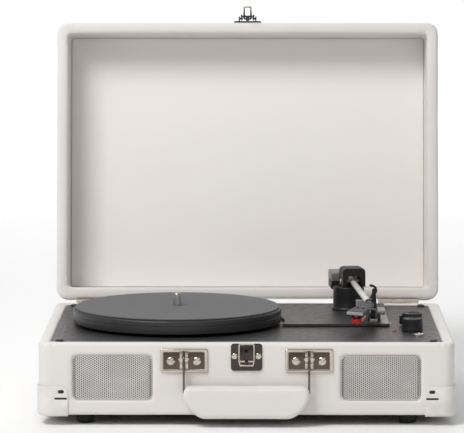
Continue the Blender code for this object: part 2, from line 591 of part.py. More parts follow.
def jack_panel():
    """The rear socket plate: two phono jacks, a line socket and the power inlet."""
    face = CASE_D - 0.2
    panel = block("jack_panel", at(JACK_X, face - 1.0, JACK_Z), (JACK_W, 2.0, JACK_H), BLACK_PLASTIC, axis="Y",
                  radius=2.0, steps=3)
    for i, across in enumerate((-30.0, -14.0)):
        place = at(JACK_X + across, face + 4.0, JACK_Z)
        join(panel, rod(f"phono_flange_{i}", place - Vector((0, 3.4, 0)), 5.6, 1.6, axis="Y", sides=ROUND))
        join(panel, rod(f"phono_barrel_{i}", place, 4.1, 8.4, axis="Y", sides=ROUND))
        cut(panel, rod(f"phono_bore_{i}", place + Vector((0, 1.0, 0)), 1.7, 8.0, axis="Y", sides=FINE))
    for i, (across, outer, bore) in enumerate(((8.0, 4.0, 1.8), (29.0, 5.2, 2.7))):
        place = at(JACK_X + across, face, JACK_Z)
        join(panel, rod(f"socket_collar_{i}", place + Vector((0, 0.6, 0)), outer, 2.0, axis="Y", sides=ROUND))
        cut(panel, rod(f"socket_bore_{i}", place, bore, 12.0, axis="Y", sides=FINE))


# ---------------------------------------------------------------- tonearm and controls

def tonearm():
    turned("tonearm_pillar", at(PILLAR_X, PIVOT_Y, 0),
           [(0, PILLAR_TOP), (PILLAR_R - 0.8, PILLAR_TOP), (PILLAR_R, PILLAR_TOP - 0.8),
            (PILLAR_R, PLINTH_TOP + 2.5), (PILLAR_R + 1.2, PLINTH_TOP + FIT), (0, PLINTH_TOP + FIT)],
           BLACK_PLASTIC, steps=WIDE)

    # The yoke turns on the pillar; its two cheeks hold the arm's level pin.
    spare = 4.0
    yoke = block("tonearm_yoke", (0, -1.0, (YOKE_LOW - spare + YOKE_HIGH) / 2),
                 (20.5, 21.0, YOKE_HIGH - YOKE_LOW + spare), BLACK_PLASTIC, YOKE, axis="Y", radius=3.2, steps=2)
    cut(yoke, block("yoke_foot", (0, 0, YOKE_LOW - 10), (40, 40, 20), None, YOKE))
    cut(yoke, block("yoke_channel", (0, -1.0, -2.5), (12.4, 30.0, 16.0), None, YOKE, axis="Y", radius=2.5,
                    steps=3))
    cut(yoke, rod("yoke_bore", (0, 0, 0), 1.7, 40, None, YOKE, axis="X", sides=FINE))

    tube_back = STUB_FROM - FIT
    tube = rod("arm_tube", (0, (tube_back - ARM_LENGTH) / 2, 0), TUBE_R, ARM_LENGTH + tube_back, SILVER, ARM,
               axis="Y", sides=ROUND)
    join(tube, rod("arm_level_pin", (0, 0, 0), 1.4, 19.0, None, ARM, axis="X", sides=FINE))
    weight = block("counterweight", (-2.75, 26.0, -4.0), (26.5, 19.0, 15.0), BLACK_PLASTIC, ARM, axis="Y",
                   radius=1.5, steps=2)
    join(weight, rod("weight_stub", (0, STUB_FROM + 5.5, 0), TUBE_R, 11.0, None, ARM, axis="Y", sides=ROUND))
    headshell()


def headshell():
    """The shell on the arm's end, its cartridge and the stylus guard under it."""
    back = TUBE_R * sin(radians(SHELL_OFFSET)) + 2 * FIT
    front = back + SHELL_LENGTH
    middle = -(back + front) / 2
    shell = block("headshell", (0, middle, -0.6), (16.0, SHELL_LENGTH, 4.0), GREY_METAL, SHELL, radius=1.2,
                  steps=2, taper=0.66)
    cut(shell, block("headshell_hollow", (0, middle - 7.0, -1.6), (8.4, SHELL_LENGTH - 20, 2.4), None, SHELL))
    join(shell, block("finger_lift", (9.4, middle - 3.0, 0.6), (8.4, 5.0, 1.2), None, SHELL))
    join(shell, block("finger_tip", (13.0, middle - 3.0, -2.6), (1.4, 5.0, 7.2), None, SHELL))
    cartridge_y = -front + 14.0
    block("cartridge", (0, cartridge_y, -2.7), (7.8, 20.0, 4.0), BLACK_PLASTIC, SHELL, radius=0.8, steps=1)
    stylus = block("stylus", (0, cartridge_y - 1.0, -7.6), (8.6, 19.0, 5.2), RED, SHELL, axis="X", radius=1.4,
                   steps=2)
    join(stylus, rod("stylus_needle", (0, cartridge_y - 6.0, -11.2), 0.5, 2.2, None, SHELL, sides=FINE,
                     end_radius=1.2))


def arm_rest():
    """The cradle under the parked arm, and the clip that closes over the arm."""
    top = ARM_UP - (REST_REACH + 4.5) * sin(radians(ARM_SLOPE)) - TUBE_R - 2 * FIT
    hub_r, bore_r, pin_r, clip_t = 2.2, 1.1, 0.8, 4.0
    left, right, thick = -6.0, CLIP_SIDE - hub_r - 0.9, 5.0
    rest = block("arm_rest", ((left + right) / 2, -REST_REACH, top - thick / 2), (right - left, 9.0, thick),
                 GREY_PLASTIC, REST)
    post_low = PLINTH_TOP + FIT
    join(rest, rod("rest_post", (-0.6, -REST_REACH, (post_low + top - 4) / 2), 4.0, top - 4 - post_low, None,
                   REST, sides=ROUND))
    ear_low, ear_high = top - thick + 0.5, CLIP_UP + 1.6
    for end, tag in ((-1, "a"), (1, "b")):
        ear = ((right - 1.0 + CLIP_SIDE + 1.8) / 2, -REST_REACH + end * (clip_t / 2 + FIT + 0.8),
               (ear_low + ear_high) / 2)
        join(rest, block(f"rest_ear_{tag}", ear, (CLIP_SIDE + 2.8 - right, 1.6, ear_high - ear_low), None, REST))
    join(rest, rod("rest_pin", (CLIP_SIDE, -REST_REACH, CLIP_UP), pin_r, clip_t + 3.0, None, REST, axis="Y",
                   sides=FINE))

    # An arch over the arm's tube that ends in a ring round the pin.
    tube = (-CLIP_SIDE, CLIP_DROP)
    outline = arc(tube, 5.2, radians(165), radians(-15), 10)
    outline += arc((0, 0), hub_r, radians(100), radians(-160), 10)
    outline += arc(tube, 3.4, radians(-15), radians(165), 10)
    clip = plate_outline("arm_clip", (0, 0, 0), [outline, arc((0, 0), bore_r, 0, 2 * pi * 11 / 12, 11)], clip_t,
                         BLACK_PLASTIC, CLIP)
    clip.rotation_euler = (radians(90), 0, 0)


def cue_lever():
    lever = turned("cue_lever", (0, 0, 0), [(0, CUE_LENGTH), (1.0, CUE_LENGTH - 0.2), (1.7, CUE_LENGTH - 1.2),
                                            (3.0, 0.0), (0, 0.0)], BLACK_PLASTIC, CUE, steps=FINE)
    join(lever, rod("cue_knuckle", (0, 0, 0), 3.1, 6.0, None, CUE, axis="X", sides=FINE))
    join(lever, rod("cue_pin", (0, 0, 0), 1.0, 10.6, None, CUE, axis="X", sides=FINE))


def knob(name, parent, pointer):
    """A straight-sided control knob on its shaft."""
    low = DECK_TOP + 0.5
    top = low + KNOB_H
    bore = 3.2
    made = turned(name, (0, 0, 0), [(0, top - 0.6), (KNOB_R - 2.2, top - 0.6), (KNOB_R - 1.6, top),
                                    (KNOB_R - 0.8, top), (KNOB_R - 0.3, top - 0.6), (KNOB_R, low), (bore, low),
                                    (bore, 6.4), (0, 6.4)], BLACK_PLASTIC, parent, steps=WIDE)
    if pointer:
        join(made, block(f"{name}_pointer", (-KNOB_R - 0.6, 0, low + 4.2), (3.0, 1.8, 7.6), None, parent))


def speed_slider():
    cap_low = PLINTH_TOP + FIT
    slider = block("speed_slider", (0, 0, cap_low + 1.3), (5.4, 5.0, 2.6), GREY_PLASTIC, SPEED)
    join(slider, block("slider_stem", (0, 0, cap_low - 1.8), (2.2, 4.4, 4.4), None, SPEED))


# ---------------------------------------------------------------- assembly

for old in list(bpy.data.objects):
    bpy.data.objects.remove(old)

PARTS = new_collection("suitcase_record_player")
TOOLS = new_collection("cutters")

LEATHERETTE = material("leatherette", (0.80, 0.78, 0.75), 0.55)
LINER = material("liner_board", (0.74, 0.72, 0.70), 0.7)
CREAM_PLASTIC = material("cream_plastic", (0.80, 0.78, 0.74), 0.4)
HARDBOARD = material("hardboard", (0.05, 0.045, 0.04), 0.8)
NICKEL = material("nickel", (0.62, 0.59, 0.55), 0.28, 1.0)
STEEL = material("steel", (0.55, 0.54, 0.52), 0.35, 1.0)
SILVER = material("silver_tube", (0.80, 0.80, 0.79), 0.3, 1.0)
BRASS = material("brass", (0.60, 0.47, 0.22), 0.35, 1.0)
BLACK_METAL = material("black_steel", (0.03, 0.03, 0.03), 0.5, 0.6)
GRILLE = material("grille_paint", (0.62, 0.61, 0.60), 0.5)
BLACK_PLASTIC = material("black_plastic", (0.03, 0.03, 0.032), 0.45)
GREY_PLASTIC = material("grey_plastic", (0.32, 0.31, 0.30), 0.5)
GREY_METAL = material("grey_metal", (0.28, 0.28, 0.28), 0.4, 0.5)
RUBBER = material("rubber", (0.02, 0.02, 0.02), 0.8)
FELT = material("felt", (0.03, 0.03, 0.032), 0.95)
RED = material("red_plastic", (0.62, 0.03, 0.02), 0.3)
BOARD = material("circuit_board", (0.05, 0.16, 0.07), 0.5)

LID = empty("lid_hinge_axis", LID_PIN, turn=(-LID_OPEN, 0, 0))
LEVER = empty("latch_lever_axis", on_lid(0, -LEVER_OUT, LEVER_UP), LID)
LOOP = empty("latch_loop_axis", on_lid(0, -LOOP_OUT, LOOP_UP) - on_lid(0, -LEVER_OUT, LEVER_UP), LEVER,
             turn=(-LOOP_TILT, 0, 0))
HANDLE = empty("handle_axis", at(0, -STAPLE_OUT, STAPLE_Z))
PLATTER = empty("platter_axis", at(SPINDLE_X, SPINDLE_Y, 0))
PULLEY = empty("motor_axis", motor_place(0))
YOKE = empty("tonearm_swing_axis", at(PIVOT_X, PIVOT_Y, ARM_UP), turn=(0, 0, ARM_HEADING))
ARM = empty("tonearm_lift_axis", (0, 0, 0), YOKE, turn=(ARM_SLOPE, 0, 0))
SHELL = empty("headshell_frame", (0, -ARM_LENGTH, 0), ARM, turn=(-SHELL_PITCH, 0, -SHELL_OFFSET))
REST = empty("arm_rest_frame", at(PIVOT_X, PIVOT_Y, 0), turn=(0, 0, ARM_HEADING))
CLIP = empty("arm_clip_axis", (CLIP_SIDE, -REST_REACH, CLIP_UP), REST, turn=(0, CLIP_OPEN, 0))
CUE = empty("cue_lever_axis", at(CUE_X, CUE_Y, CUE_UP))
VOLUME = empty("volume_axis", at(VOLUME_X, VOLUME_Y, 0))
SELECTOR = empty("selector_axis", at(SELECTOR_X, SELECTOR_Y, 0))
SPEED = empty("speed_slide_axis", at(SPEED_X, SPEED_Y, 0))

base_case()
lid_case()
guards()
for side_name, side_sign in sides():
    hinge(side_name, side_sign)
    speaker(side_name, side_sign)
    handle_bracket(side_name, side_sign)
handle()
latch_keeper()
lid_latch()
deck()
plinth()
platter_and_drive()
electronics()
tonearm()
arm_rest()
cue_lever()
knob("volume_knob", VOLUME, pointer=False)
knob("selector_knob", SELECTOR, pointer=True)
speed_slider()
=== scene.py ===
"""Looks for the suitcase record player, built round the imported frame.

Everything is in metres in the frame's own axes: +X right, +Y back, +Z up. Pieces of the lid are made as if
the lid were shut and then turned open about the hinge, so their sizes can be read off the case.
"""

import json
from math import atan2, cos, hypot, pi, radians, sin

import bmesh
import bpy
import numpy as np
from mathutils import Matrix, Vector, noise


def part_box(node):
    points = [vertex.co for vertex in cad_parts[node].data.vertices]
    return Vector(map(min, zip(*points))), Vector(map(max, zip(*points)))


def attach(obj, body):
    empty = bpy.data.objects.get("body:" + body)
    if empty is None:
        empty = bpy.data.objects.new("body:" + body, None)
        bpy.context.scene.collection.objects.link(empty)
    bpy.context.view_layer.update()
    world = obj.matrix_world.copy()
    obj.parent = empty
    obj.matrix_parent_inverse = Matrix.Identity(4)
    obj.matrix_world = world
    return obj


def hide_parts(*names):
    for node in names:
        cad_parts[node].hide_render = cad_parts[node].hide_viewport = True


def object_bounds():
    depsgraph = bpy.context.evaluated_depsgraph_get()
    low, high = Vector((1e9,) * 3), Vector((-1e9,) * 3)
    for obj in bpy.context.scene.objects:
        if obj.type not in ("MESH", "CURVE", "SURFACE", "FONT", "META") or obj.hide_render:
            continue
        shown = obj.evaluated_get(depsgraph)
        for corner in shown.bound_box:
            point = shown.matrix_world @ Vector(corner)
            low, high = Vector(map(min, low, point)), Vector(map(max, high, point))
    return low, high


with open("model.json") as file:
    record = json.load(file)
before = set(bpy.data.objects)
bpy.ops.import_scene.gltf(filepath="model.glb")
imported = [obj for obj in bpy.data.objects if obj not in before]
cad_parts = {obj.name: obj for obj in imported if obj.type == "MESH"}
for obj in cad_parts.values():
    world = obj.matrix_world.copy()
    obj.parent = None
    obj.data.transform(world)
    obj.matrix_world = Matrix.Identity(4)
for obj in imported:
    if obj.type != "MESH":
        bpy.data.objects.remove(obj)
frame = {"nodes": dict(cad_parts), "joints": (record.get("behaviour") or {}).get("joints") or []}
CAD_LOW, CAD_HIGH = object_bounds()

MM = 0.001
JOINTS = {joint["name"]: joint for joint in frame["joints"]}
HINGE = Vector(JOINTS["lid_hinge"]["pos_m"])
LID_TURN = Matrix.Rotation(radians(JOINTS["lid_hinge"]["range_deg"][0]), 4, "X")
OPENED = Matrix.Translation(HINGE) @ LID_TURN @ Matrix.Translation(-HINGE)      # from shut to open

BASE_LOW, BASE_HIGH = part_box("base_shell")
WIDTH, DEPTH, RIM = BASE_HIGH.x - BASE_LOW.x, BASE_HIGH.y - BASE_LOW.y, BASE_HIGH.z
FRONT, BACK = BASE_LOW.y, BASE_HIGH.y
WALL = 10.25 * MM
CORNER_R, INNER_R, EDGE_R = 9.5 * MM, 3.0 * MM, 2.6 * MM
LID_LOW, LID_HIGH, LID_TOP_T = RIM + 0.5 * MM, RIM + 47.5 * MM, 4.0 * MM


# ---------------------------------------------------------------- materials

class Look:
    """A Principled material whose colour, roughness and bump come from procedural nodes."""

    def __init__(self, name, colour, roughness, metallic=0.0, **sockets):
        self.material = bpy.data.materials.new(name)
        self.material.use_nodes = True
        self.tree = self.material.node_tree
        self.shader = self.tree.nodes["Principled BSDF"]
        self.shader.inputs["Base Color"].default_value = (*colour, 1.0)
        self.shader.inputs["Roughness"].default_value = roughness
        self.shader.inputs["Metallic"].default_value = metallic
        for socket, value in sockets.items():
            self.shader.inputs[socket.replace("_", " ")].default_value = value
        self.colour, self.roughness = colour, roughness
        self.where = self.tree.nodes.new("ShaderNodeTexCoord").outputs["Object"]
        self.normal = None

    def stretched(self, scale):
        """Object coordinates scaled unevenly, for grain that runs along an axis."""
        node = self.tree.nodes.new("ShaderNodeMapping")
        node.inputs["Scale"].default_value = scale
        self.tree.links.new(self.where, node.inputs["Vector"])
        return node.outputs["Vector"]

    def noise(self, scale, detail=4.0, rough=0.55, distortion=0.0, where=None):
        node = self.tree.nodes.new("ShaderNodeTexNoise")
        node.inputs["Scale"].default_value = scale
        node.inputs["Detail"].default_value = detail
        node.inputs["Roughness"].default_value = rough
        node.inputs["Distortion"].default_value = distortion
        self.tree.links.new(where or self.where, node.inputs["Vector"])
        return node.outputs["Fac"]

    def cells(self, scale, feature="F1", spread=1.0, where=None):
        node = self.tree.nodes.new("ShaderNodeTexVoronoi")
        node.feature = feature
        node.inputs["Scale"].default_value = scale
        node.inputs["Randomness"].default_value = spread
        self.tree.links.new(where or self.where, node.inputs["Vector"])
        return node.outputs["Distance"]

    def rings(self, scale, distortion=0.0, where=None):
        """Concentric bands round the vector's Z axis."""
        node = self.tree.nodes.new("ShaderNodeTexWave")
        node.wave_type = "RINGS"
        node.rings_direction = "Z"
        node.inputs["Scale"].default_value = scale
        node.inputs["Distortion"].default_value = distortion
        self.tree.links.new(where or self.where, node.inputs["Vector"])
        return node.outputs["Fac"]

    def shifted(self, place):
        """Object coordinates counted from a place."""
        node = self.tree.nodes.new("ShaderNodeVectorMath")
        node.operation = "SUBTRACT"
        node.inputs[1].default_value = place
        self.tree.links.new(self.where, node.inputs[0])
        return node.outputs["Vector"]

    def ramp(self, value, *stops):
        """value through a colour ramp with (position, colour) stops."""
        node = self.tree.nodes.new("ShaderNodeValToRGB")
        while len(node.color_ramp.elements) < len(stops):
            node.color_ramp.elements.new(0.5)
        for element, (position, colour) in zip(node.color_ramp.elements, stops):
            element.position = position
            element.color = (*colour, 1.0)
        self.tree.links.new(value, node.inputs["Fac"])
        return node.outputs["Color"]

    def tint(self, value, low, high, dark=0.88, bright=1.06):
        """Lets the base colour drift between two shares of itself as value goes from low to high."""
        shades = [tuple(min(1.0, c * share) for c in self.colour) for share in (dark, bright)]
        self.tree.links.new(self.ramp(value, (low, shades[0]), (high, shades[1])),
                            self.shader.inputs["Base Color"])
        return self

    def gloss(self, value, low, high, least, most):
        node = self.tree.nodes.new("ShaderNodeMapRange")
        for socket, number in zip(("From Min", "From Max", "To Min", "To Max"), (low, high, least, most)):
            node.inputs[socket].default_value = number
        self.tree.links.new(value, node.inputs["Value"])
        self.tree.links.new(node.outputs["Result"], self.shader.inputs["Roughness"])
        return self

    def bump(self, value, strength, depth_mm):
        node = self.tree.nodes.new("ShaderNodeBump")
        node.inputs["Strength"].default_value = strength
        node.inputs["Distance"].default_value = depth_mm * MM
        self.tree.links.new(value, node.inputs["Height"])
        if self.normal:
            self.tree.links.new(self.normal, node.inputs["Normal"])
        self.normal = node.outputs["Normal"]
        self.tree.links.new(self.normal, self.shader.inputs["Normal"])
        return self


def leatherette_look():
    look = Look("leatherette", (0.775, 0.742, 0.712), 0.5, Specular_IOR_Level=0.42, Coat_Weight=0.06,
                Coat_Roughness=0.35)
    look.tint(look.noise(9.0, 5.0), 0.3, 0.7, 0.965, 1.02)
    look.gloss(look.noise(38.0, 5.0), 0.3, 0.7, 0.42, 0.58)
    look.bump(look.cells(950.0, "SMOOTH_F1"), 0.32, 0.10)
    look.bump(look.noise(420.0, 5.0, 0.6), 0.28, 0.12)
    return look.bump(look.noise(26.0, 3.0), 0.25, 0.5).material


def liner_look():
    look = Look("liner_board", (0.86, 0.825, 0.795), 0.62, Specular_IOR_Level=0.3)
    look.tint(look.noise(5.0, 3.0), 0.3, 0.7, 0.985, 1.012)
    look.gloss(look.noise(60.0, 4.0), 0.3, 0.7, 0.55, 0.68)
    look.bump(look.noise(1400.0, 4.0, 0.6, where=look.stretched((1.0, 0.35, 0.35))), 0.18, 0.05)
    return look.bump(look.noise(14.0, 2.0), 0.12, 0.4).material


def moulded_look(name, colour, roughness, grain=0.22, **sockets):
    look = Look(name, colour, roughness, **sockets)
    look.tint(look.noise(45.0, 4.0), 0.3, 0.7, 0.9, 1.08)
    look.gloss(look.noise(170.0, 4.0), 0.3, 0.7, roughness - 0.06, roughness + 0.08)
    look.bump(look.cells(2600.0, "SMOOTH_F1"), grain, 0.04)
    return look.bump(look.noise(620.0, 4.0), grain, 0.04).material


def plated_look(name, colour, roughness, streak=(1.0, 9.0, 9.0), metallic=1.0):
    """Plated or brushed metal, with fine streaks across it and dull patches."""
    look = Look(name, colour, roughness, metallic)
    look.tint(look.noise(70.0, 4.0), 0.3, 0.7, 0.86, 1.06)
    look.gloss(look.noise(110.0, 5.0, where=look.stretched(streak)), 0.3, 0.7, roughness - 0.05,
               roughness + 0.09)
    look.bump(look.noise(900.0, 3.0, where=look.stretched(streak)), 0.10, 0.03)
    return look.bump(look.noise(130.0, 3.0), 0.07, 0.12).material


def felt_look():
    look = Look("felt", (0.032, 0.031, 0.034), 0.93, Sheen_Weight=0.35, Sheen_Roughness=0.6)
    look.tint(look.noise(900.0, 5.0, 0.7), 0.3, 0.7, 0.55, 1.8)
    look.bump(look.noise(2300.0, 5.0, 0.75, 0.6), 0.75, 0.25)
    return look.bump(look.noise(180.0, 3.0), 0.3, 0.2).material


def platter_look(centre):
    look = Look("platter_plastic", (0.03, 0.03, 0.032), 0.38)
    around = look.shifted(centre)
    look.tint(look.noise(60.0, 4.0), 0.3, 0.7, 0.85, 1.15)
    look.gloss(look.noise(220.0, 4.0), 0.3, 0.7, 0.30, 0.46)
    return look.bump(look.rings(340.0, 0.2, around), 0.15, 0.05).bump(look.noise(700.0, 4.0), 0.2,
                                                                      0.04).material


def rubber_look():
    look = Look("rubber", (0.016, 0.016, 0.016), 0.82)
    look.tint(look.noise(160.0, 5.0), 0.3, 0.7, 0.6, 1.2)
    look.gloss(look.noise(240.0, 4.0), 0.3, 0.7, 0.75, 0.92)
    return look.bump(look.noise(1200.0, 5.0, 0.7), 0.4, 0.08).material


def cloth_look():
    """Black speaker cloth: a fine square weave."""
    look = Look("speaker_cloth", (0.012, 0.012, 0.012), 0.95)
    look.tint(look.cells(1300.0, "F1", 0.15), 0.1, 0.6, 2.2, 0.5)
    return look.bump(look.cells(1300.0, "F1", 0.15), 0.6, 0.12).material


def paper_cone_look():
    look = Look("cone_paper", (0.03, 0.029, 0.028), 0.85)
    look.tint(look.noise(300.0, 5.0, 0.7), 0.3, 0.7, 0.6, 1.7)
    return look.bump(look.noise(800.0, 5.0, 0.7), 0.5, 0.1).material


def hardboard_look():
    look = Look("hardboard", (0.045, 0.038, 0.032), 0.78)
    look.tint(look.noise(500.0, 6.0, 0.75), 0.3, 0.7, 0.6, 1.7)
    look.gloss(look.noise(30.0, 4.0), 0.3, 0.7, 0.68, 0.86)
    return look.bump(look.cells(700.0, "F1"), 0.35, 0.12).bump(look.noise(1500.0, 4.0), 0.3, 0.06).material


def board_look():
    """Green solder mask with paler copper tracks under it."""
    look = Look("circuit_board", (0.03, 0.13, 0.055), 0.38, Coat_Weight=0.3)
    look.tint(look.cells(150.0, "F1", 0.6), 0.25, 0.32, 0.7, 1.5)
    look.gloss(look.noise(300.0, 4.0), 0.3, 0.7, 0.30, 0.48)
    return look.bump(look.cells(150.0, "F1", 0.6), 0.25, 0.06).material


def lens_look(name, colour):
    look = Look(name, colour, 0.2, Coat_Weight=0.5, Coat_Roughness=0.08)
    look.tint(look.noise(220.0, 4.0), 0.3, 0.7, 0.8, 1.1)
    look.gloss(look.noise(340.0, 4.0), 0.3, 0.7, 0.14, 0.28)
    return look.bump(look.noise(900.0, 3.0), 0.08, 0.04).material


def floor_look():
    look = Look("floor_paper", (0.93, 0.93, 0.93), 0.75, Specular_IOR_Level=0.2)
    look.tint(look.noise(2.0, 2.0), 0.3, 0.7, 0.995, 1.0)
    return look.bump(look.noise(300.0, 3.0), 0.05, 0.05).material


PLATTER_AXIS = Vector(JOINTS["platter_spin"]["pos_m"])
LEATHERETTE = leatherette_look()
LINER = liner_look()
CREAM = moulded_look("cream_plastic", (0.77, 0.74, 0.71), 0.42, 0.16)
DECK = moulded_look("deck_plastic", (0.036, 0.033, 0.036), 0.36, 0.05)
BLACK = moulded_look("black_plastic", (0.012, 0.012, 0.013), 0.42, 0.14, Specular_IOR_Level=0.35)
GREY = moulded_look("grey_plastic", (0.30, 0.29, 0.285), 0.45, 0.20)
PALE_GREY = moulded_look("pale_grey_plastic", (0.42, 0.40, 0.39), 0.45, 0.20)
WHITE_MARK = moulded_look("white_mark", (0.75, 0.74, 0.72), 0.5, 0.10)
CHARCOAL = moulded_look("headshell_paint", (0.060, 0.060, 0.062), 0.44, 0.12, Specular_IOR_Level=0.35)
SLATE = moulded_look("weight_paint", (0.20, 0.20, 0.195), 0.40, 0.16)
GRILLE = moulded_look("grille_enamel", (0.60, 0.585, 0.565), 0.42, 0.10)
NICKEL = plated_look("nickel", (0.64, 0.575, 0.50), 0.20)
NICKEL_FIELD = plated_look("nickel_field", (0.135, 0.105, 0.082), 0.22)
DARK_NICKEL = plated_look("dark_nickel", (0.070, 0.062, 0.060), 0.16)
WIRE_STEEL = plated_look("wire_steel", (0.16, 0.15, 0.145), 0.24)
STEEL = plated_look("steel", (0.56, 0.55, 0.53), 0.30)
SILVER = moulded_look("silver_tube", (0.86, 0.84, 0.80), 0.30, 0.04, Metallic=0.35)
BRASS = plated_look("brass", (0.62, 0.47, 0.21), 0.28)
BLACK_STEEL = plated_look("black_steel", (0.03, 0.03, 0.03), 0.45, metallic=0.4)
FELT, RUBBER, CLOTH, CONE = felt_look(), rubber_look(), cloth_look(), paper_cone_look()
PLATTER = platter_look(PLATTER_AXIS)
HARDBOARD, BOARD = hardboard_look(), board_look()
RED, LENS = lens_look("red_plastic", (0.66, 0.022, 0.016)), lens_look("led_lens", (0.50, 0.03, 0.02))
RED_RING, WHITE_RING = lens_look("red_ring", (0.60, 0.04, 0.03)), lens_look("white_ring",
                                                                            (0.72, 0.71, 0.69))


# ---------------------------------------------------------------- mesh helpers

def outline(width, height, radius, steps=6, straight=1):
    """A rounded rectangle's points, anticlockwise; straight is the number of stretches along each side."""
    radius = max(min(radius, width / 2 - 1e-6, height / 2 - 1e-6), 1e-6)
    corners = []
    for sx, sy, start in ((1, -1, -pi / 2), (1, 1, 0), (-1, 1, pi / 2), (-1, -1, pi)):
        centre = (sx * (width / 2 - radius), sy * (height / 2 - radius))
        corners.append([(centre[0] + radius * cos(start + pi / 2 * i / steps),
                         centre[1] + radius * sin(start + pi / 2 * i / steps)) for i in range(steps + 1)])
    points = []
    for i, corner in enumerate(corners):
        points += corner
        last, first = corner[-1], corners[(i + 1) % 4][0]
        points += [(last[0] + (first[0] - last[0]) * k / straight,
                    last[1] + (first[1] - last[1]) * k / straight)
                   for k in range(1, straight)]
    return points


def loft(work, rings, closed=False, caps=True):
    """Skins rings of equally many points. closed joins the last ring to the first."""
    made = [[work.verts.new(point) for point in ring] for ring in rings]
    pairs = list(zip(made, made[1:])) + ([(made[-1], made[0])] if closed else [])
    for low, high in pairs:
        for i in range(len(low)):
            j = (i + 1) % len(low)
            work.faces.new((low[i], low[j], high[j], high[i]))
    if caps and not closed:
        work.faces.new(list(reversed(made[0])))
        work.faces.new(made[-1])
    return [vert for ring in made for vert in ring]


def relief(work, width, height, radius, profile, matrix, steps=6):
    """A plate in its own XY plane: (inset, level) pairs from its back edge, over its rim, to its face."""
    rings = [[Vector((x, y, level)) for x, y in outline(width - 2 * inset, height - 2 * inset,
                                                        radius - inset, steps)]
             for inset, level in profile]
    verts = loft(work, rings)
    bmesh.ops.transform(work, matrix=matrix, verts=verts)
    return verts


def slab(work, size, radius, edge, matrix, steps=5):
    """A box with rounded upright corners and rounded rims, centred on its matrix's origin."""
    width, height, thick = size
    half = thick / 2
    turns = [pi / 2 * i / 3 for i in range(4)]
    profile = [(edge * (1 - sin(t)), -half + edge * (1 - cos(t))) for t in turns]
    profile += [(edge * (1 - sin(t)), half - edge * (1 - cos(t))) for t in reversed(turns)]
    return relief(work, width, height, radius, profile, matrix, steps)


def lathe(work, profile, matrix, sides=48, closed=False):
    """Turns (radius, height) points round Z. An end on the axis closes to a point."""
    rows = []
    for radius, height in profile:
        if radius < 1e-7:
            rows.append([work.verts.new((0, 0, height))])
        else:
            rows.append([work.verts.new((radius * cos(2 * pi * i / sides), radius * sin(2 * pi * i / sides),
                                         height))
                         for i in range(sides)])
    pairs = list(zip(rows, rows[1:])) + ([(rows[-1], rows[0])] if closed else [])
    for high, low in pairs:
        for i in range(sides):
            j = (i + 1) % sides
            ring = [high[i % len(high)], low[i % len(low)], low[j % len(low)], high[j % len(high)]]
            face = list(dict.fromkeys(ring))
            if len(face) > 2:
                work.faces.new(face)
    verts = [vert for row in rows for vert in row]
    bmesh.ops.transform(work, matrix=matrix, verts=verts)
    return verts


def turned(work, profile, place, sides=48, closed=False, up=0.0):
    """lathe with its profile in millimetres, and up metres added to each height."""
    return lathe(work, [(radius * MM, up + height * MM) for radius, height in profile], place, sides,
                 closed)


def sweep(work, path, radius, sides=12, closed=False):
    """A round wire along a path, with flat ends where it is open."""
    points = [Vector(point) for point in path]
    count = len(points)
    rings, side = [], None
    for i, point in enumerate(points):
        after = points[(i + 1) % count] if closed or i < count - 1 else point
        before = points[i - 1] if closed or i > 0 else point
        along = (after - before).normalized()
        if side is None:
            side = along.orthogonal().normalized()
        side = (side - along * side.dot(along)).normalized()
        other = along.cross(side)
        rings.append([point + (side * cos(2 * pi * k / sides) + other * sin(2 * pi * k / sides)) * radius
                      for k in range(sides)])
    return loft(work, rings, closed=closed)


def bent(centre, radius, first, last, steps, axes):
    """Points on an arc in the plane of two axes."""
    across, up = (Vector(axis) for axis in axes)
    return [Vector(centre) + across * radius * cos(t) + up * radius * sin(t)
            for t in (first + (last - first) * i / steps for i in range(steps + 1))]


def placed(x, y, z, facing="Z", spin=0.0):
    """A matrix at a place whose own Z looks along facing."""
    turns = {"Z": Matrix.Identity(4), "-Z": Matrix.Rotation(pi, 4, "X"),
             "-Y": Matrix.Rotation(pi / 2, 4, "X"),
             "Y": Matrix.Rotation(-pi / 2, 4, "X"), "X": Matrix.Rotation(pi / 2, 4, "Y"),
             "-X": Matrix.Rotation(-pi / 2, 4, "Y")}
    return Matrix.Translation((x, y, z)) @ turns[facing] @ Matrix.Rotation(spin, 4, "Z")


def piece(name, work, look, body, replaces=(), shut_lid=False, angle=35.0, matrix=None):
    """Makes the object, puts it on its body and hides the CAD nodes that it stands for."""
    bmesh.ops.recalc_face_normals(work, faces=work.faces)
    mesh = bpy.data.meshes.new(name)
    work.to_mesh(mesh)
    work.free()
    if matrix is not None:
        mesh.transform(matrix)
    if shut_lid:
        mesh.transform(OPENED)
    mesh.shade_smooth()
    mesh.set_sharp_from_angle(angle=radians(angle))
    made = bpy.data.objects.new(name, mesh)
    bpy.context.scene.collection.objects.link(made)
    mesh.materials.append(look)
    return dress(made, body, replaces)


def dress(made, body, replaces=()):
    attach(made, body)
    if replaces:
        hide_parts(*replaces)
    return made


def refined(node, look, body, edge=0.25, angle=30.0):
    """A copy of a CAD node with its facets welded, its edges bevelled and its round faces smooth."""
    source = frame["nodes"][node]
    work = bmesh.new()
    work.from_mesh(source.data)
    bmesh.ops.remove_doubles(work, verts=work.verts, dist=0.00001)
    bmesh.ops.dissolve_limit(work, angle_limit=radians(1.0), verts=work.verts, edges=work.edges)
    made = piece(f"{node}_finish", work, look, body, [node], angle=angle)
    bevel = made.modifiers.new("Bevel", "BEVEL")
    bevel.width = edge * MM
    bevel.segments = 2
    bevel.limit_method = "ANGLE"
    bevel.angle_limit = radians(angle)
    bevel.harden_normals = True
    return made


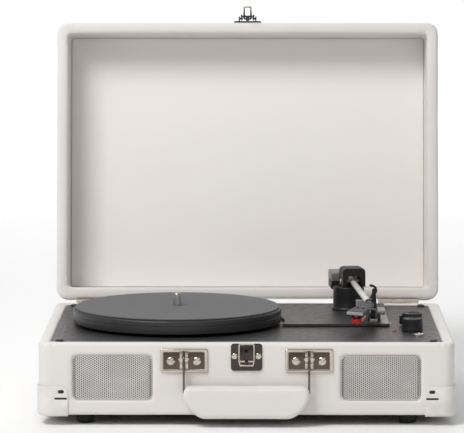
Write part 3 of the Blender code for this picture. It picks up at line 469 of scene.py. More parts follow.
def applied(made):
    """Replaces a piece's mesh by its evaluated one and removes its modifiers."""
    graph = bpy.context.evaluated_depsgraph_get()
    mesh = bpy.data.meshes.new_from_object(made.evaluated_get(graph))
    made.modifiers.clear()
    made.data = mesh
    return made


def tool(name, size, place, radius, edge=0.0, facing="Z", steps=6):
    """A rounded box used to cut another piece."""
    work = bmesh.new()
    slab(work, size, radius, max(edge, 1e-5), placed(*place, facing), steps)
    bmesh.ops.recalc_face_normals(work, faces=work.faces)
    mesh = bpy.data.meshes.new(name)
    work.to_mesh(mesh)
    work.free()
    made = bpy.data.objects.new(name, mesh)
    bpy.context.scene.collection.objects.link(made)
    return made


def carve(target, cutters, operation="DIFFERENCE"):
    """Adds one exact boolean modifier for each cutter."""
    for cutter in cutters:
        change = target.modifiers.new(cutter.name, "BOOLEAN")
        change.operation = operation
        change.solver = "EXACT"
        change.object = cutter


def cut(target, tools):
    carve(target, tools)
    applied(target)
    for cutter in tools:
        bpy.data.objects.remove(cutter)


def vectors(mesh, attribute="co"):
    """One row for each vertex: its place (co) or its normal."""
    flat = np.empty(len(mesh.vertices) * 3)
    mesh.vertices.foreach_get(attribute, flat)
    return flat.reshape(-1, 3)


def set_coordinates(mesh, points):
    mesh.vertices.foreach_set("co", points.ravel())
    mesh.update()


# ---------------------------------------------------------------- case covers

def wrapped(made, voxel_mm, smooth=4):
    """Turns a hard-edged case into one even skin with soft edges, as cloth glued over board has."""
    remesh = made.modifiers.new("Remesh", "REMESH")
    remesh.mode = "VOXEL"
    remesh.voxel_size = voxel_mm * MM
    relax = made.modifiers.new("Smooth", "SMOOTH")
    relax.factor = 0.5
    relax.iterations = smooth
    applied(made)
    made.data.shade_smooth()


def puckers(point, corner, reach, height):
    """The height of the folds that fan out from a corner where the covering turns in."""
    away = Vector(point) - Vector(corner)
    share = away.length / reach
    if share > 1.0 or share < 0.05:
        return 0.0
    around = atan2(away.y, away.x)
    return height * sin(around * 11.0 + 2.2 * noise.noise(Vector(point)
                                                          * 60)) * share * (1 - share) ** 2 * 6.75


def drape(made, folds, ripple_mm=0.16):
    """Moves the skin by the covering's slight waviness, and by the folds at the rim's corners."""
    points, normals = vectors(made.data), vectors(made.data, "normal")
    rise = np.array([ripple_mm * MM * noise.noise(Vector(point) * 21.0)
                     + 0.05 * MM * noise.noise(Vector(point) * 120.0) for point in points])
    for corner, reach, level, depth, height in folds:
        near = np.where((np.hypot(points[:, 0] - corner[0], points[:, 1] - corner[1]) < reach)
                        & (np.abs(points[:, 2] - level) < depth))[0]
        for i in near:
            rise[i] += puckers((*points[i][:2], 0), (*corner, 0), reach, height)
    set_coordinates(made.data, points + normals * rise[:, None])


def wall_ring(inset, level, radius):
    return [Vector((x, y, level)) for x, y in outline(WIDTH - 2 * inset, DEPTH - 2 * inset, radius, 8, 8)]


def rolled(outer, inner, level, edge, up):
    """The rings over a wall's rim, from its outer side to its inner one."""
    turns = [pi / 2 * i / 4 for i in range(5)]
    rings = [wall_ring(outer + edge * (1 - cos(t)), level - up * edge * (1 - sin(t)),
                       CORNER_R - edge * (1 - cos(t)))
             for t in turns]
    rings += [wall_ring(inner - edge * (1 - cos(t)), level - up * edge * (1 - sin(t)),
                        INNER_R + edge * (1 - cos(t)))
              for t in reversed(turns)]
    return rings


def rim_folds(level):
    """For each of the rim's inner corners: its place, the folds' reach, level and depth, and their height."""
    inside = (WIDTH / 2 - WALL + 0.5 * MM, DEPTH / 2 - WALL + 0.5 * MM)
    return [((sx * inside[0], sy * inside[1]), 15 * MM, level, 4 * MM, 0.42 * MM)
            for sx in (-1, 1) for sy in (-1, 1)]


def base_cover():
    """The base's leatherette, round all four walls, with its speaker and socket openings."""
    work = bmesh.new()
    edge = EDGE_R
    rings = rolled(0, WALL, RIM, edge, 1)
    turns = [pi / 2 * i / 4 for i in range(5)]
    rings = [wall_ring(edge * (1 - sin(t)), edge * (1 - cos(t)), CORNER_R - edge * (1 - sin(t)))
             for t in turns] + rings
    rings += [wall_ring(WALL, 0.0, INNER_R)]
    loft(work, rings, closed=True)
    made = piece("base_cover", work, LEATHERETTE, "base", ["base_shell"])
    tools = []
    for side in ("left", "right"):
        low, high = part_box(f"speaker_grille_{side}")
        middle, size = (low + high) / 2, high - low
        place = (middle.x, FRONT, middle.z)
        tools.append(tool(f"pocket_{side}", (size.x + 1.6 * MM, size.z + 1.6 * MM, 5.2 * MM), place,
                          5.0 * MM,
                          facing="Y"))
        tools.append(tool(f"opening_{side}", (size.x - 9 * MM, size.z - 8 * MM, 40 * MM), place, 8 * MM,
                          facing="Y"))
    low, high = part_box("jack_panel")
    middle, size = (low + high) / 2, high - low
    place = (middle.x, BACK, middle.z)
    tools.append(tool("jack_pocket", (size.x + 1.4 * MM, size.z + 1.4 * MM, 5.2 * MM), place, 2.6 * MM,
                      facing="Y"))
    tools.append(tool("jack_opening", (size.x - 8 * MM, size.z - 6 * MM, 40 * MM), place, 2 * MM,
                      facing="Y"))
    cut(made, tools)
    wrapped(made, 1.3)
    drape(made, rim_folds(RIM))
    points = vectors(made.data)
    points[:, 2] = np.minimum(points[:, 2], RIM)
    set_coordinates(made.data, points)


def lid_cover():
    """The lid's leatherette, made shut. No point passes the rim, so the shut lid stays clear of the base."""
    work = bmesh.new()
    edge = EDGE_R
    turns = [pi / 2 * i / 5 for i in range(6)]
    rings = [wall_ring(edge * (1 - sin(t)), LID_HIGH - edge * (1 - cos(t)), CORNER_R - edge * (1 - sin(t)))
             for t in turns]
    rings += rolled(0, WALL, LID_LOW, edge, -1)
    rings += [wall_ring(WALL, LID_HIGH - LID_TOP_T, INNER_R)]
    loft(work, rings)
    made = piece("lid_cover", work, LEATHERETTE, "lid", ["lid_shell"])
    wrapped(made, 1.5)
    drape(made, rim_folds(LID_LOW), 0.22)
    points = vectors(made.data)
    points[:, 2] = np.maximum(points[:, 2], LID_LOW)
    turn = np.array(OPENED)
    set_coordinates(made.data, points @ turn[:3, :3].T + turn[:3, 3])


def lid_lining():
    """The flat lining board, with a gap round it."""
    low, high = LID_HIGH - LID_TOP_T - 2.1 * MM, LID_HIGH - LID_TOP_T - 0.3 * MM
    work = bmesh.new()
    inside = (WIDTH - 2 * WALL - 2.4 * MM, DEPTH - 2 * WALL - 2.4 * MM, high - low)
    slab(work, inside, 2.0 * MM, 0.6 * MM, placed(0, 0, (low + high) / 2))
    piece("lid_lining", work, LINER, "lid", ["lid_liner"], shut_lid=True)


def corner_caps():
    """Moulded corner guards with a raised rim, and a recess and a slot on their front, each with a black
    plate in it as painted shadow.
    """
    for side, sx in (("left", -1), ("right", 1)):
        for end, sy in (("front", -1), ("rear", 1)):
            corner_cap(f"base_corner_{end}_{side}", "base", sx, sy, 0.0, -1)
            corner_cap(f"lid_corner_{end}_{side}", "lid", sx, sy, LID_HIGH, 1)


def corner_cap(node, body, sx, sy, level, up):
    """One cap: a fine copy of the outside of the case's corner, thickened outwards and cut to its shape."""
    reach, thick, round_r, edge = 25.0 * MM, 1.2 * MM, 6.0 * MM, 3.2 * MM
    turns = [pi / 2 * i / 5 for i in range(6)]
    work = bmesh.new()

    def skin(out):
        rings = [[Vector((x, y, level + up * out)) for x, y in
                  outline(WIDTH + 2 * out - 2 * edge - 60 * MM, DEPTH + 2 * out - 2 * edge - 60 * MM,
                          2 * MM, 8, 8)]]
        for t in turns:
            inset = edge * (1 - sin(t)) - out
            rings.append([Vector((x, y, level + up * (out - edge * (1 - cos(t))))) for x, y in
                          outline(WIDTH - 2 * inset, DEPTH - 2 * inset,
                                  CORNER_R + out - edge * (1 - sin(t)), 8, 8)])
        rings.append([Vector((x, y, level - up * reach * 1.3)) for x, y in
                      outline(WIDTH + 2 * out, DEPTH + 2 * out, CORNER_R + out, 8, 8)])
        return rings

    loft(work, skin(thick) + list(reversed(skin(0.25 * MM))), closed=True)
    made = piece(node + "_cap", work, CREAM, body, [node], angle=50)
    corner = (sx * WIDTH / 2, sy * DEPTH / 2, level)
    keep = [tool(f"keep_{facing}", (2 * reach, 2 * reach, length), place, round_r, facing=facing, steps=8)
            for facing, length, place in (("Y", 2 * DEPTH, (corner[0], 0, corner[2])),
                                          ("X", 2 * WIDTH, (0, corner[1], corner[2])),
                                          ("Z", 0.8, (corner[0], corner[1], 0)))]
    face = corner[1] + sy * thick
    recess = (corner[0] - sx * 19.2 * MM, face, level - up * 20.0 * MM)
    slot = (corner[0] - sx * 19.0 * MM, face, level - up * 14.2 * MM)
    holes = [tool("recess", (5.2 * MM, 3.0 * MM, 1.6 * MM), recess, 1.45 * MM, facing="Y"),
             tool("slot", (10.6 * MM, 1.7 * MM, 1.6 * MM), slot, 0.8 * MM, facing="Y")]
    carve(made, keep, "INTERSECT")
    carve(made, holes)
    bevel = made.modifiers.new("Bevel", "BEVEL")
    bevel.width, bevel.segments, bevel.limit_method, bevel.angle_limit = 0.3 * MM, 2, "ANGLE", radians(50)
    applied(made)
    for cutter in keep + holes:
        bpy.data.objects.remove(cutter)
    if body == "lid":
        made.data.transform(OPENED)
    made.data.shade_smooth()
    made.data.set_sharp_from_angle(angle=radians(40))
    # Black plates at the bottom of the recess and the slot: painted shadow in these hollows.
    dark = bmesh.new()
    for (x, y, z), wide, tall, radius in ((recess, 5.1, 2.9, 1.4), (slot, 10.5, 1.6, 0.7)):
        relief(dark, wide * MM, tall * MM, radius * MM, [(0, 0), (0, 0.25 * MM), (0.2 * MM, 0.3 * MM)],
               placed(x, y - sy * 0.75 * MM, z, "-Y" if sy < 0 else "Y"))
    piece(node + "_shadow", dark, BLACK_STEEL, body, shut_lid=body == "lid")


def bottom():
    """The hardboard bottom panel and the four turned rubber feet."""
    low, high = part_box("bottom_panel")
    work = bmesh.new()
    slab(work, tuple(high - low), INNER_R, 0.5 * MM, Matrix.Translation((low + high) / 2))
    piece("bottom_board", work, HARDBOARD, "base", ["bottom_panel"])
    for end in ("front", "rear"):
        for side in ("left", "right"):
            low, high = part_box(f"foot_{end}_{side}")
            middle, wide = (low + high) / 2, (high.x - low.x) / 2
            work = bmesh.new()
            lathe(work, [(0, high.z), (wide * 0.97, high.z), (wide, high.z - 0.4 * MM),
                         (wide, high.z - 1.5 * MM),
                         (wide * 0.86, low.z + 0.9 * MM), (wide * 0.8, low.z + 0.25 * MM),
                         (wide * 0.72, low.z),
                         (wide * 0.32, low.z), (wide * 0.28, low.z + 0.8 * MM), (0, low.z + 0.8 * MM)],
                  placed(middle.x, middle.y, 0), 40)
            piece(f"rubber_foot_{end}_{side}", work, RUBBER, "base", [f"foot_{end}_{side}"],
                  angle=30)


# ---------------------------------------------------------------- fasteners and front hardware

def screw(work, matrix, radius, rise, slots=2, sides=28):
    """A domed screw head with a cross or a single slot, its flat side at the matrix's origin."""
    dome = [(radius * cos(t), rise * (0.25 + 0.75 * sin(t))) for t in (pi / 2 * i / 6 for i in range(7))]
    head = bmesh.new()
    lathe(head, [(0, rise)] + [(r, z) for r, z in reversed(dome) if r > 1e-6] + [(radius, 0), (0, 0)],
          Matrix.Identity(4), sides)
    mesh = bpy.data.meshes.new("head")
    bmesh.ops.recalc_face_normals(head, faces=head.faces)
    head.to_mesh(mesh)
    head.free()
    blank = bpy.data.objects.new("head", mesh)
    bpy.context.scene.collection.objects.link(blank)
    reach = 2.3 if slots == 1 else 1.25         # a single slot runs right across, a cross stays inside
    tools = []
    for k in range(slots):
        tools.append(tool(f"slot_{k}", (radius * reach, radius * 0.32, rise), (0, 0, rise * 0.86),
                          radius * 0.05))
        tools[-1].matrix_world = Matrix.Rotation(pi / 2 * k + 0.35, 4, "Z")
    cut(blank, tools)
    blank.data.transform(matrix)
    work.from_mesh(blank.data)
    bpy.data.objects.remove(blank)


def perforated(work, width, height, thick):
    """A sheet with hexagonally spaced round holes, in its own XZ plane. Each hole fills one diamond of it."""
    across, row, hole, edge, margin = 3.24 * MM, 0.937 * MM, 0.58 * MM, 4 * MM, 1.15 * MM
    columns, rows = int(width / across) + 2, int(height / row) + 2
    corners = {}

    def corner(x, y, z):
        key = (round(x / across * 4), y, round(z / row * 4))
        if key not in corners:
            corners[key] = work.verts.new((x, y, z))
        return corners[key]

    def inside(x, z):
        return hypot(max(abs(x) - (width / 2 - edge), 0),
                     max(abs(z) - (height / 2 - edge), 0)) < edge - margin

    for j in range(-rows // 2, rows // 2 + 1):
        for i in range(-columns // 2, columns // 2 + 1):
            x, z = (i + (0.5 if j % 2 else 0.0)) * across, j * row
            if not inside(x, z):
                continue
            rings = []
            for y in (0.0, thick):
                ends = [corner(x + across / 2, y, z), corner(x, y, z + row), corner(x - across / 2, y, z),
                        corner(x, y, z - row)]
                ring = [work.verts.new((x + hole * cos(pi / 4 * k), y, z + hole * sin(pi / 4 * k)))
                        for k in range(8)]
                for k in range(4):
                    a, b, between = ends[k], ends[(k + 1) % 4], ring[2 * k + 1]
                    for face in ((a, b, between), (a, between, ring[2 * k]),
                                 (b, ring[(2 * k + 2) % 8], between)):
                        work.faces.new(face)
                rings.append(ring)
            front, back = rings
            for k in range(8):
                after = (k + 1) % 8
                work.faces.new((front[k], front[after], back[after], back[k]))


def grilles():
    """Perforated plates with a rolled rim, over black cloth."""

    def ring(width, height, radius, depth=0.0, share=1.0):
        return [Vector((x * share, depth, z * share)) for x, z in outline(width, height, radius, 8, 12)]

    for side in ("left", "right"):
        low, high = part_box(f"speaker_grille_{side}")
        middle, width, height = (low + high) / 2, high.x - low.x, high.z - low.z
        work = bmesh.new()
        perforated(work, width, height, 0.7 * MM)
        outer = (width - 0.7 * MM, height - 0.7 * MM, 4 * MM)
        inner = (width - 2.1 * MM, height - 2.1 * MM, 3.4 * MM)
        crest = [a.lerp(b, 0.45) + Vector((0, -0.30 * MM, 0)) for a, b in zip(ring(*outer), ring(*inner))]
        loft(work, [ring(*outer, 1.2 * MM), ring(*outer, 0.1 * MM), crest, ring(*inner),
                    ring(*inner, 0.9 * MM)],
             closed=True)
        piece(f"perforated_grille_{side}", work, GRILLE, "base", [f"speaker_grille_{side}"],
              matrix=Matrix.Translation((middle.x, low.y + 0.35 * MM, middle.z)))
        work = bmesh.new()
        # The cloth reaches past the plate's edge into the gap round it, so that the gap shows black: painted
        # shadow.
        cloth = (width + 1.4 * MM, height + 1.4 * MM, 4.6 * MM)
        loft(work, [ring(*cloth, 0.3 * MM)] + [ring(*cloth, (1.0 - share) * 0.2 * MM, share)
                                               for share in (1.0, 0.8, 0.6, 0.4, 0.2)])
        piece(f"speaker_cloth_{side}", work, CLOTH, "base",
              matrix=Matrix.Translation((middle.x, high.y - 0.25 * MM, middle.z)))


def speakers():
    """A pressed frame with its magnet behind, and a paper cone with its roll and dust cap."""
    for side in ("left", "right"):
        low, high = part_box(f"speaker_{side}")
        middle = (low + high) / 2
        work = bmesh.new()
        slab(work, (high.x - low.x, high.z - low.z, 2 * MM), 16 * MM, 0.5 * MM,
             placed(middle.x, low.y + 1 * MM, middle.z, "-Y"))
        face = placed(middle.x, low.y, middle.z, "Y")
        turned(work, [(18.5, 1.9), (19.5, 2.0), (19.5, 4.0), (15.5, 13.0), (17, 13.2), (17, 22.0),
                      (16, 22.4), (0, 22.4)], face)
        piece(f"speaker_frame_{side}", work, BLACK_STEEL, "base", [f"speaker_{side}"])
        work = bmesh.new()
        turned(work, [(0, 6.2), (4.0, 7.0), (5.8, 9.0), (7.0, 8.6), (14.0, 2.9), (15.2, 2.0), (16.4, 2.0),
                      (17.6, 2.9), (17.6, 3.4), (7.0, 9.4), (0, 9.4)], face)
        piece(f"speaker_cone_{side}", work, CONE, "base")


def brackets():
    """Handle brackets: a rolled rim round a sunk field, two screws, and a folded loop that holds the link."""
    for side in ("left", "right"):
        node = f"handle_bracket_{side}"
        low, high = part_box(node)
        middle, width, height = (low + high) / 2, high.x - low.x, high.z - low.z
        face = placed(middle.x, FRONT - 0.3 * MM, middle.z, "-Y")
        work = bmesh.new()
        relief(work, width, height, 1.6 * MM,
               [(0.2 * MM, 0), (0, 0.2 * MM), (0, 0.9 * MM), (0.5 * MM, 1.45 * MM), (1.2 * MM, 1.6 * MM),
                (1.9 * MM, 1.45 * MM), (2.5 * MM, 0.75 * MM), (2.8 * MM, 0.62 * MM)], face, 6)
        axis = Vector(JOINTS["handle_hinge"]["pos_m"])
        for sx in (-1, 1):
            across = middle.x + sx * 2.3 * MM
            path = [(across, FRONT - 0.9 * MM, middle.z + 7.2 * MM),
                    (across, FRONT - 1.7 * MM, middle.z + 6.2 * MM)]
            path += bent((across, axis.y + 2.4 * MM, axis.z), 3.4 * MM, pi / 2, 3 * pi / 2, 10,
                         ((0, 1, 0), (0, 0, 1)))
            path += [(across, FRONT - 1.7 * MM, middle.z - 4.4 * MM),
                     (across, FRONT - 0.9 * MM, middle.z - 6.4 * MM)]
            ribbon(work, path, 2.3 * MM, 0.9 * MM)
        sweep(work, [(middle.x - 4.4 * MM, axis.y, axis.z), (middle.x + 4.4 * MM, axis.y, axis.z)],
              1.0 * MM, 16)
        piece(f"{node}_plate", work, NICKEL, "base", [node], angle=40)
        work = bmesh.new()
        relief(work, width - 5.4 * MM, height - 5.4 * MM, 1.0 * MM,
               [(0, 0.4 * MM), (0, 0.66 * MM), (0.3 * MM, 0.72 * MM)], face, 4)
        piece(f"{node}_field", work, NICKEL_FIELD, "base", angle=40)
        work = bmesh.new()
        for sx in (-1, 1):
            screw(work, placed(middle.x + sx * 10.9 * MM, FRONT - 0.95 * MM, middle.z - 0.3 * MM, "-Y",
                               0.5 * sx),
                  3.7 * MM, 2.0 * MM, slots=1)
        piece(f"{node}_screws", work, NICKEL, "base", angle=30)


def ribbon(work, path, width, thick):
    """A flat strip of metal bent along a path in a plane of constant X."""
    points = [Vector(p) for p in path]
    rings = []
    for i, point in enumerate(points):
        along = (points[min(i + 1, len(points) - 1)] - points[max(i - 1, 0)]).normalized()
        out = Vector((1, 0, 0)).cross(along).normalized() * thick / 2
        side = Vector((width / 2, 0, 0))
        rings.append([point - side - out, point + side - out, point + side + out, point - side + out])
    return loft(work, rings)


def keeper():
    """The base's half of the latch: a plate with two screws and a bright tongue whose lips turn down."""
    low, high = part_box("latch_keeper")
    middle, width, height = (low + high) / 2, high.x - low.x, high.z - low.z
    face = placed(middle.x, FRONT - 0.3 * MM, (low.z + high.z) / 2, "-Y")
    work = bmesh.new()
    relief(work, width, height, 2.4 * MM, [(0.2 * MM, 0), (0, 0.2 * MM), (0, 0.85 * MM),
                                           (0.35 * MM, 1.2 * MM), (0.9 * MM, 1.2 * MM)], face, 8)
    piece("keeper_plate", work, DARK_NICKEL, "base", ["latch_keeper"], angle=40)
    work = bmesh.new()
    top = high.z - 0.6 * MM
    for sx in (-1, 1):
        sweep(work, [(sx * 6.2 * MM, FRONT - 1.6 * MM, top),
                     (sx * 6.2 * MM, FRONT - 1.9 * MM, top - 14.0 * MM),
                     (sx * 5.6 * MM, FRONT - 2.1 * MM, top - 16.6 * MM),
                     (sx * 4.8 * MM, FRONT - 2.0 * MM, top - 18.6 * MM)],
              0.75 * MM, 12)
    sweep(work, [(-6.2 * MM, FRONT - 1.6 * MM, top), (6.2 * MM, FRONT - 1.6 * MM, top)], 0.75 * MM, 12)
    for drop, half, out in ((14.2, 6.2, 2.3), (17.6, 4.9, 2.3)):
        sweep(work, [(-half * MM, FRONT - out * MM, top - drop * MM),
                     (0, FRONT - (out + 0.5) * MM, top - drop * MM),
                     (half * MM, FRONT - out * MM, top - drop * MM)], 0.95 * MM, 14)
    hook = [(0, FRONT - 1.2 * MM, top - 5.0 * MM), (0, FRONT - 5.6 * MM, top - 5.6 * MM),
            (0, FRONT - 6.5 * MM, top - 7.0 * MM), (0, FRONT - 6.6 * MM, top - 15.6 * MM)]
    for sx in (-1, 1):
        screw(work, placed(sx * 10.0 * MM, FRONT - 1.3 * MM, top - 10.0 * MM, "-Y", 0.3), 2.6 * MM,
              1.2 * MM, slots=1)
    piece("keeper_tongue", work, NICKEL, "base", angle=35)
    work = bmesh.new()
    ribbon(work, hook, 3.0 * MM, 1.0 * MM)
    piece("keeper_hook", work, DARK_NICKEL, "base", angle=35)
    work = bmesh.new()
    relief(work, 11.2 * MM, 13.0 * MM, 0.5 * MM, [(0, 0), (0, 0.5 * MM), (0.3 * MM, 0.6 * MM)],
           placed(0, FRONT - 1.4 * MM, top - 7.2 * MM, "-Y"), 4)
    piece("keeper_tongue_field", work, DARK_NICKEL, "base", angle=35)


def grip():
    """The padded grip: crowned faces, flared shoulders and round lower corners, sewn round its edge."""
    low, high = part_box("handle_grip")
    middle, width, thick, tall = (low + high) / 2, high.x - low.x, high.y - low.y, high.z - low.z
    side = [(1.00, 6.8), (0.997, 8.6), (0.985, 11.9), (0.968, 14.0), (0.945, 15.8), (0.914, 18.6),
            (0.875, 21.2), (0.845, 22.9), (0.80, 24.7), (0.76, 26.1), (0.715, 27.3), (0.66, 28.0)]
    shoulder = [(0.88, 0.0), (0.925, 0.35), (0.958, 1.2), (0.98, 2.6), (0.994, 4.4)]
    right = [(share * width / 2, tall / 2 - drop * MM) for share, drop in shoulder + side]
    across = [(share * width / 2, tall / 2) for share in (k / 16 * 0.88 for k in range(-15, 16))]
    floor = [(share * width / 2, -tall / 2) for share in (k / 12 * 0.66 for k in range(11, -12, -1))]
    curve = [Vector((x, 0, z)) for x, z in across + right + floor + [(-x, z) for x, z in reversed(right)]]
    roll = 4.2 * MM
    rings = []
    for k in range(-8, 9):
        turn = pi / 2 * k / 8
        inset = roll * (1 - cos(turn))
        rings.append([Vector((p.x * (1 - 2 * inset / width), thick / 2 * sin(turn),
                              p.z * (1 - 2 * inset / tall)))
                      for p in curve])
    work = bmesh.new()
    loft(work, rings)
    made = piece("grip_cover", work, LEATHERETTE, "handle", ["handle_grip"],
                 matrix=Matrix.Translation(middle))
    wrapped(made, 0.9, 3)
    inflate(made, 0.7 * MM)
    points, normals = vectors(made.data), vectors(made.data, "normal")
    rise = np.array([0.12 * MM * noise.noise(Vector(p) * 70.0) for p in points])
    set_coordinates(made.data, np.clip(points + normals * rise[:, None], np.array(low), np.array(high)))
    work = bmesh.new()
    seam = [middle + p for p in curve]
    gap, stitch = 1.1 * MM, 2.1 * MM
    lengths = np.cumsum([0] + [(b - a).length for a, b in zip(seam, seam[1:] + seam[:1])])
    total = lengths[-1]

    def along(distance):
        distance %= total
        i = int(np.searchsorted(lengths, distance, "right")) - 1
        a, b = seam[i % len(seam)], seam[(i + 1) % len(seam)]
        return a.lerp(b, (distance - lengths[i]) / max((b - a).length, 1e-9))

    count = int(total / (stitch + gap))
    for i in range(count):
        start = total * i / count
        ends = [along(start), along(start + stitch / 2), along(start + stitch)]
        sweep(work, [p + (middle - p).normalized() * 0.25 * MM for p in ends], 0.28 * MM, 6)
    piece("grip_stitching", work, CREAM, "handle", angle=60)


def inflate(made, most):
    """A short cloth simulation under pressure, which plumps the padding. Points move no further than most."""
    start = vectors(made.data)
    scene = bpy.context.scene
    cloth = made.modifiers.new("Cloth", "CLOTH")
    cloth.settings.quality = 4
    cloth.settings.use_pressure = True
    cloth.settings.uniform_pressure_force = 3.0
    cloth.settings.effector_weights.gravity = 0.0
    cloth.settings.tension_stiffness = cloth.settings.compression_stiffness = 25.0
    cloth.settings.bending_stiffness = 1.0
    steps = 12
    cloth.point_cache.frame_start, cloth.point_cache.frame_end = 1, steps
    for step in range(1, steps + 1):
        scene.frame_set(step)
    applied(made)
    scene.frame_set(1)
    moved = vectors(made.data) - start
    far = np.linalg.norm(moved, axis=1, keepdims=True)
    set_coordinates(made.data, start + moved * np.minimum(1.0, most / np.maximum(far, 1e-9)))


def links():
    """The wire links between the brackets and the grip."""
    for side in ("left", "right"):
        node = f"handle_link_{side}"
        low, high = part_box(node)
        across, radius = (low.x + high.x) / 2, (high.x - low.x) / 2
        axis = JOINTS["handle_hinge"]["pos_m"]
        bend = 2.3 * MM
        top = bent((across, axis[1], axis[2]), bend, 0, pi, 10, ((0, 1, 0), (0, 0, 1)))
        bottom_y = low.y + radius + bend
        under = bent((across, bottom_y, low.z + radius + bend), bend, pi, 2 * pi, 10,
                     ((0, 1, 0), (0, 0, 1)))
        work = bmesh.new()
        sweep(work, top + under, radius, 14, closed=True)
        piece(f"{node}_wire", work, WIRE_STEEL, "handle", [node], angle=60)


# ---------------------------------------------------------------- lid latch and hinges

def on_lid(across, out, down):
    """A matrix on the lid's front face: across, out from the face, and down from the shut lid's top edge."""
    return OPENED @ placed(across * MM, FRONT - out * MM, LID_HIGH - down * MM, "-Y")


def latch():
    """The lid's catch: a plate with two rivets, the lever hung in its ears, and the lever's wire loop."""
    refined("latch_plate", DARK_NICKEL, "lid", 0.35)
    work = bmesh.new()
    for sx in (-1, 1):
        turned(work, [(0, 2.3), (1.2, 2.2), (2.0, 1.6), (2.2, 1.2), (0, 1.2)],
               on_lid(sx * 10.0, 0.3, (LID_HIGH - RIM) / MM - 18.0), 24)
    piece("latch_rivets", work, NICKEL, "lid")
    refined("latch_lever", DARK_NICKEL, "latch_lever", 0.4)
    hanging = radians(-16.0)                    # the loop's lean from the lid's own down
    place = (Matrix.Translation(JOINTS["latch_loop_pivot"]["pos_m"]) @ LID_TURN
             @ Matrix.Rotation(hanging, 4, "X"))
    half, bend, length = 3.1, 1.4, 29.1
    path = []
    for centre, first in (((half - bend, -bend), pi / 2), ((half - bend, -length + bend), 0),
                          ((-half + bend, -length + bend), -pi / 2), ((-half + bend, -bend), -pi)):
        path += bent((centre[0], 0, centre[1]), bend, first, first - pi / 2, 6, ((1, 0, 0), (0, 0, 1)))
    work = bmesh.new()
    sweep(work, [place @ (p * MM) for p in path], 0.8 * MM, 12, closed=True)
    piece("latch_wire", work, NICKEL, "latch_loop", ["latch_loop"], angle=60)


def hinges():
    """Leaves with softened edges, their knuckles, and countersunk screws."""
    for side, sx in (("left", -1), ("right", 1)):
        refined(f"hinge_leaf_base_{side}", NICKEL, "base", 0.3)
        refined(f"hinge_leaf_lid_{side}", NICKEL, "lid", 0.3)
        base, lid = bmesh.new(), bmesh.new()
        for k in (-1, 0, 1):
            across, out = sx * 138.0 * MM + k * 12.0 * MM, BACK + 1.35 * MM
            screw(base, placed(across, out, RIM - 11.2 * MM, "Y", 0.3 * k), 2.4 * MM, 0.7 * MM, slots=2,
                  sides=20)
            screw(lid, OPENED @ placed(across, out, RIM + 11.8 * MM, "Y", 0.9 + 0.4 * k), 2.4 * MM,
                  0.7 * MM, slots=2,
                  sides=20)
        piece(f"hinge_screws_base_{side}", base, STEEL, "base", angle=30)
        piece(f"hinge_screws_lid_{side}", lid, STEEL, "lid", angle=30)


# ---------------------------------------------------------------- deck, platter and drive

def deck():
    """The deck and plinth with screws, two marks, and the speed switch in its strip."""
    refined("deck_plate", DECK, "base", 0.3)
    work = bmesh.new()
    for sx in (-1, 1):
        for sy in (-1, 1):
            screw(work, placed(sx * 157.5 * MM, sy * (DEPTH / 2 - 17.5 * MM), RIM - 0.9 * MM, "Z", sx + sy),
                  3.5 * MM,
                  1.7 * MM)
    piece("deck_screws", work, BLACK_STEEL, "base", angle=30)
    refined("tonearm_plinth", DECK, "base", 0.45)
    marks = bmesh.new()
    for x, y, wide, deep in ((147.9, -58.6, 5.0, 1.1), (125.6, 0.4, 1.1, 5.0)):
        relief(marks, wide * MM, deep * MM, 0.5 * MM, [(0, 0), (0, 0.08 * MM), (0.1 * MM, 0.12 * MM)],
               placed(x * MM, y * MM, RIM - 1.0 * MM))
    piece("deck_marks", marks, WHITE_MARK, "base")
    strip = bmesh.new()
    relief(strip, 6.4 * MM, 104.0 * MM, 0.8 * MM, [(0, 0), (0, 0.2 * MM), (0.2 * MM, 0.3 * MM)],
           placed(120.2 * MM, 32.0 * MM, RIM + 1.5 * MM))
    made = piece("speed_strip", strip, PALE_GREY, "base")
    low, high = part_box("speed_slider")
    middle = (low + high) / 2
    cut(made, [tool("strip_slot", (3.2 * MM, 15.8 * MM, 4 * MM), (middle.x, middle.y, RIM + 1.5 * MM),
                    0.6 * MM)])
    work = bmesh.new()
    slab(work, (5.4 * MM, 5.0 * MM, 2.2 * MM), 0.9 * MM, 0.45 * MM,
         placed(middle.x, middle.y, high.z - 1.2 * MM))
    for k in (-1, 0, 1):
        slab(work, (4.4 * MM, 0.55 * MM, 0.5 * MM), 0.2 * MM, 0.15 * MM,
             placed(middle.x, middle.y + k * 1.2 * MM, high.z - 0.1 * MM), 2)
    slab(work, (2.2 * MM, 4.4 * MM, 5.2 * MM), 0.5 * MM, 0.2 * MM,
         placed(middle.x, middle.y, low.z + 2.7 * MM))
    piece("speed_cap", work, GREY, "speed_slider", ["speed_slider"])


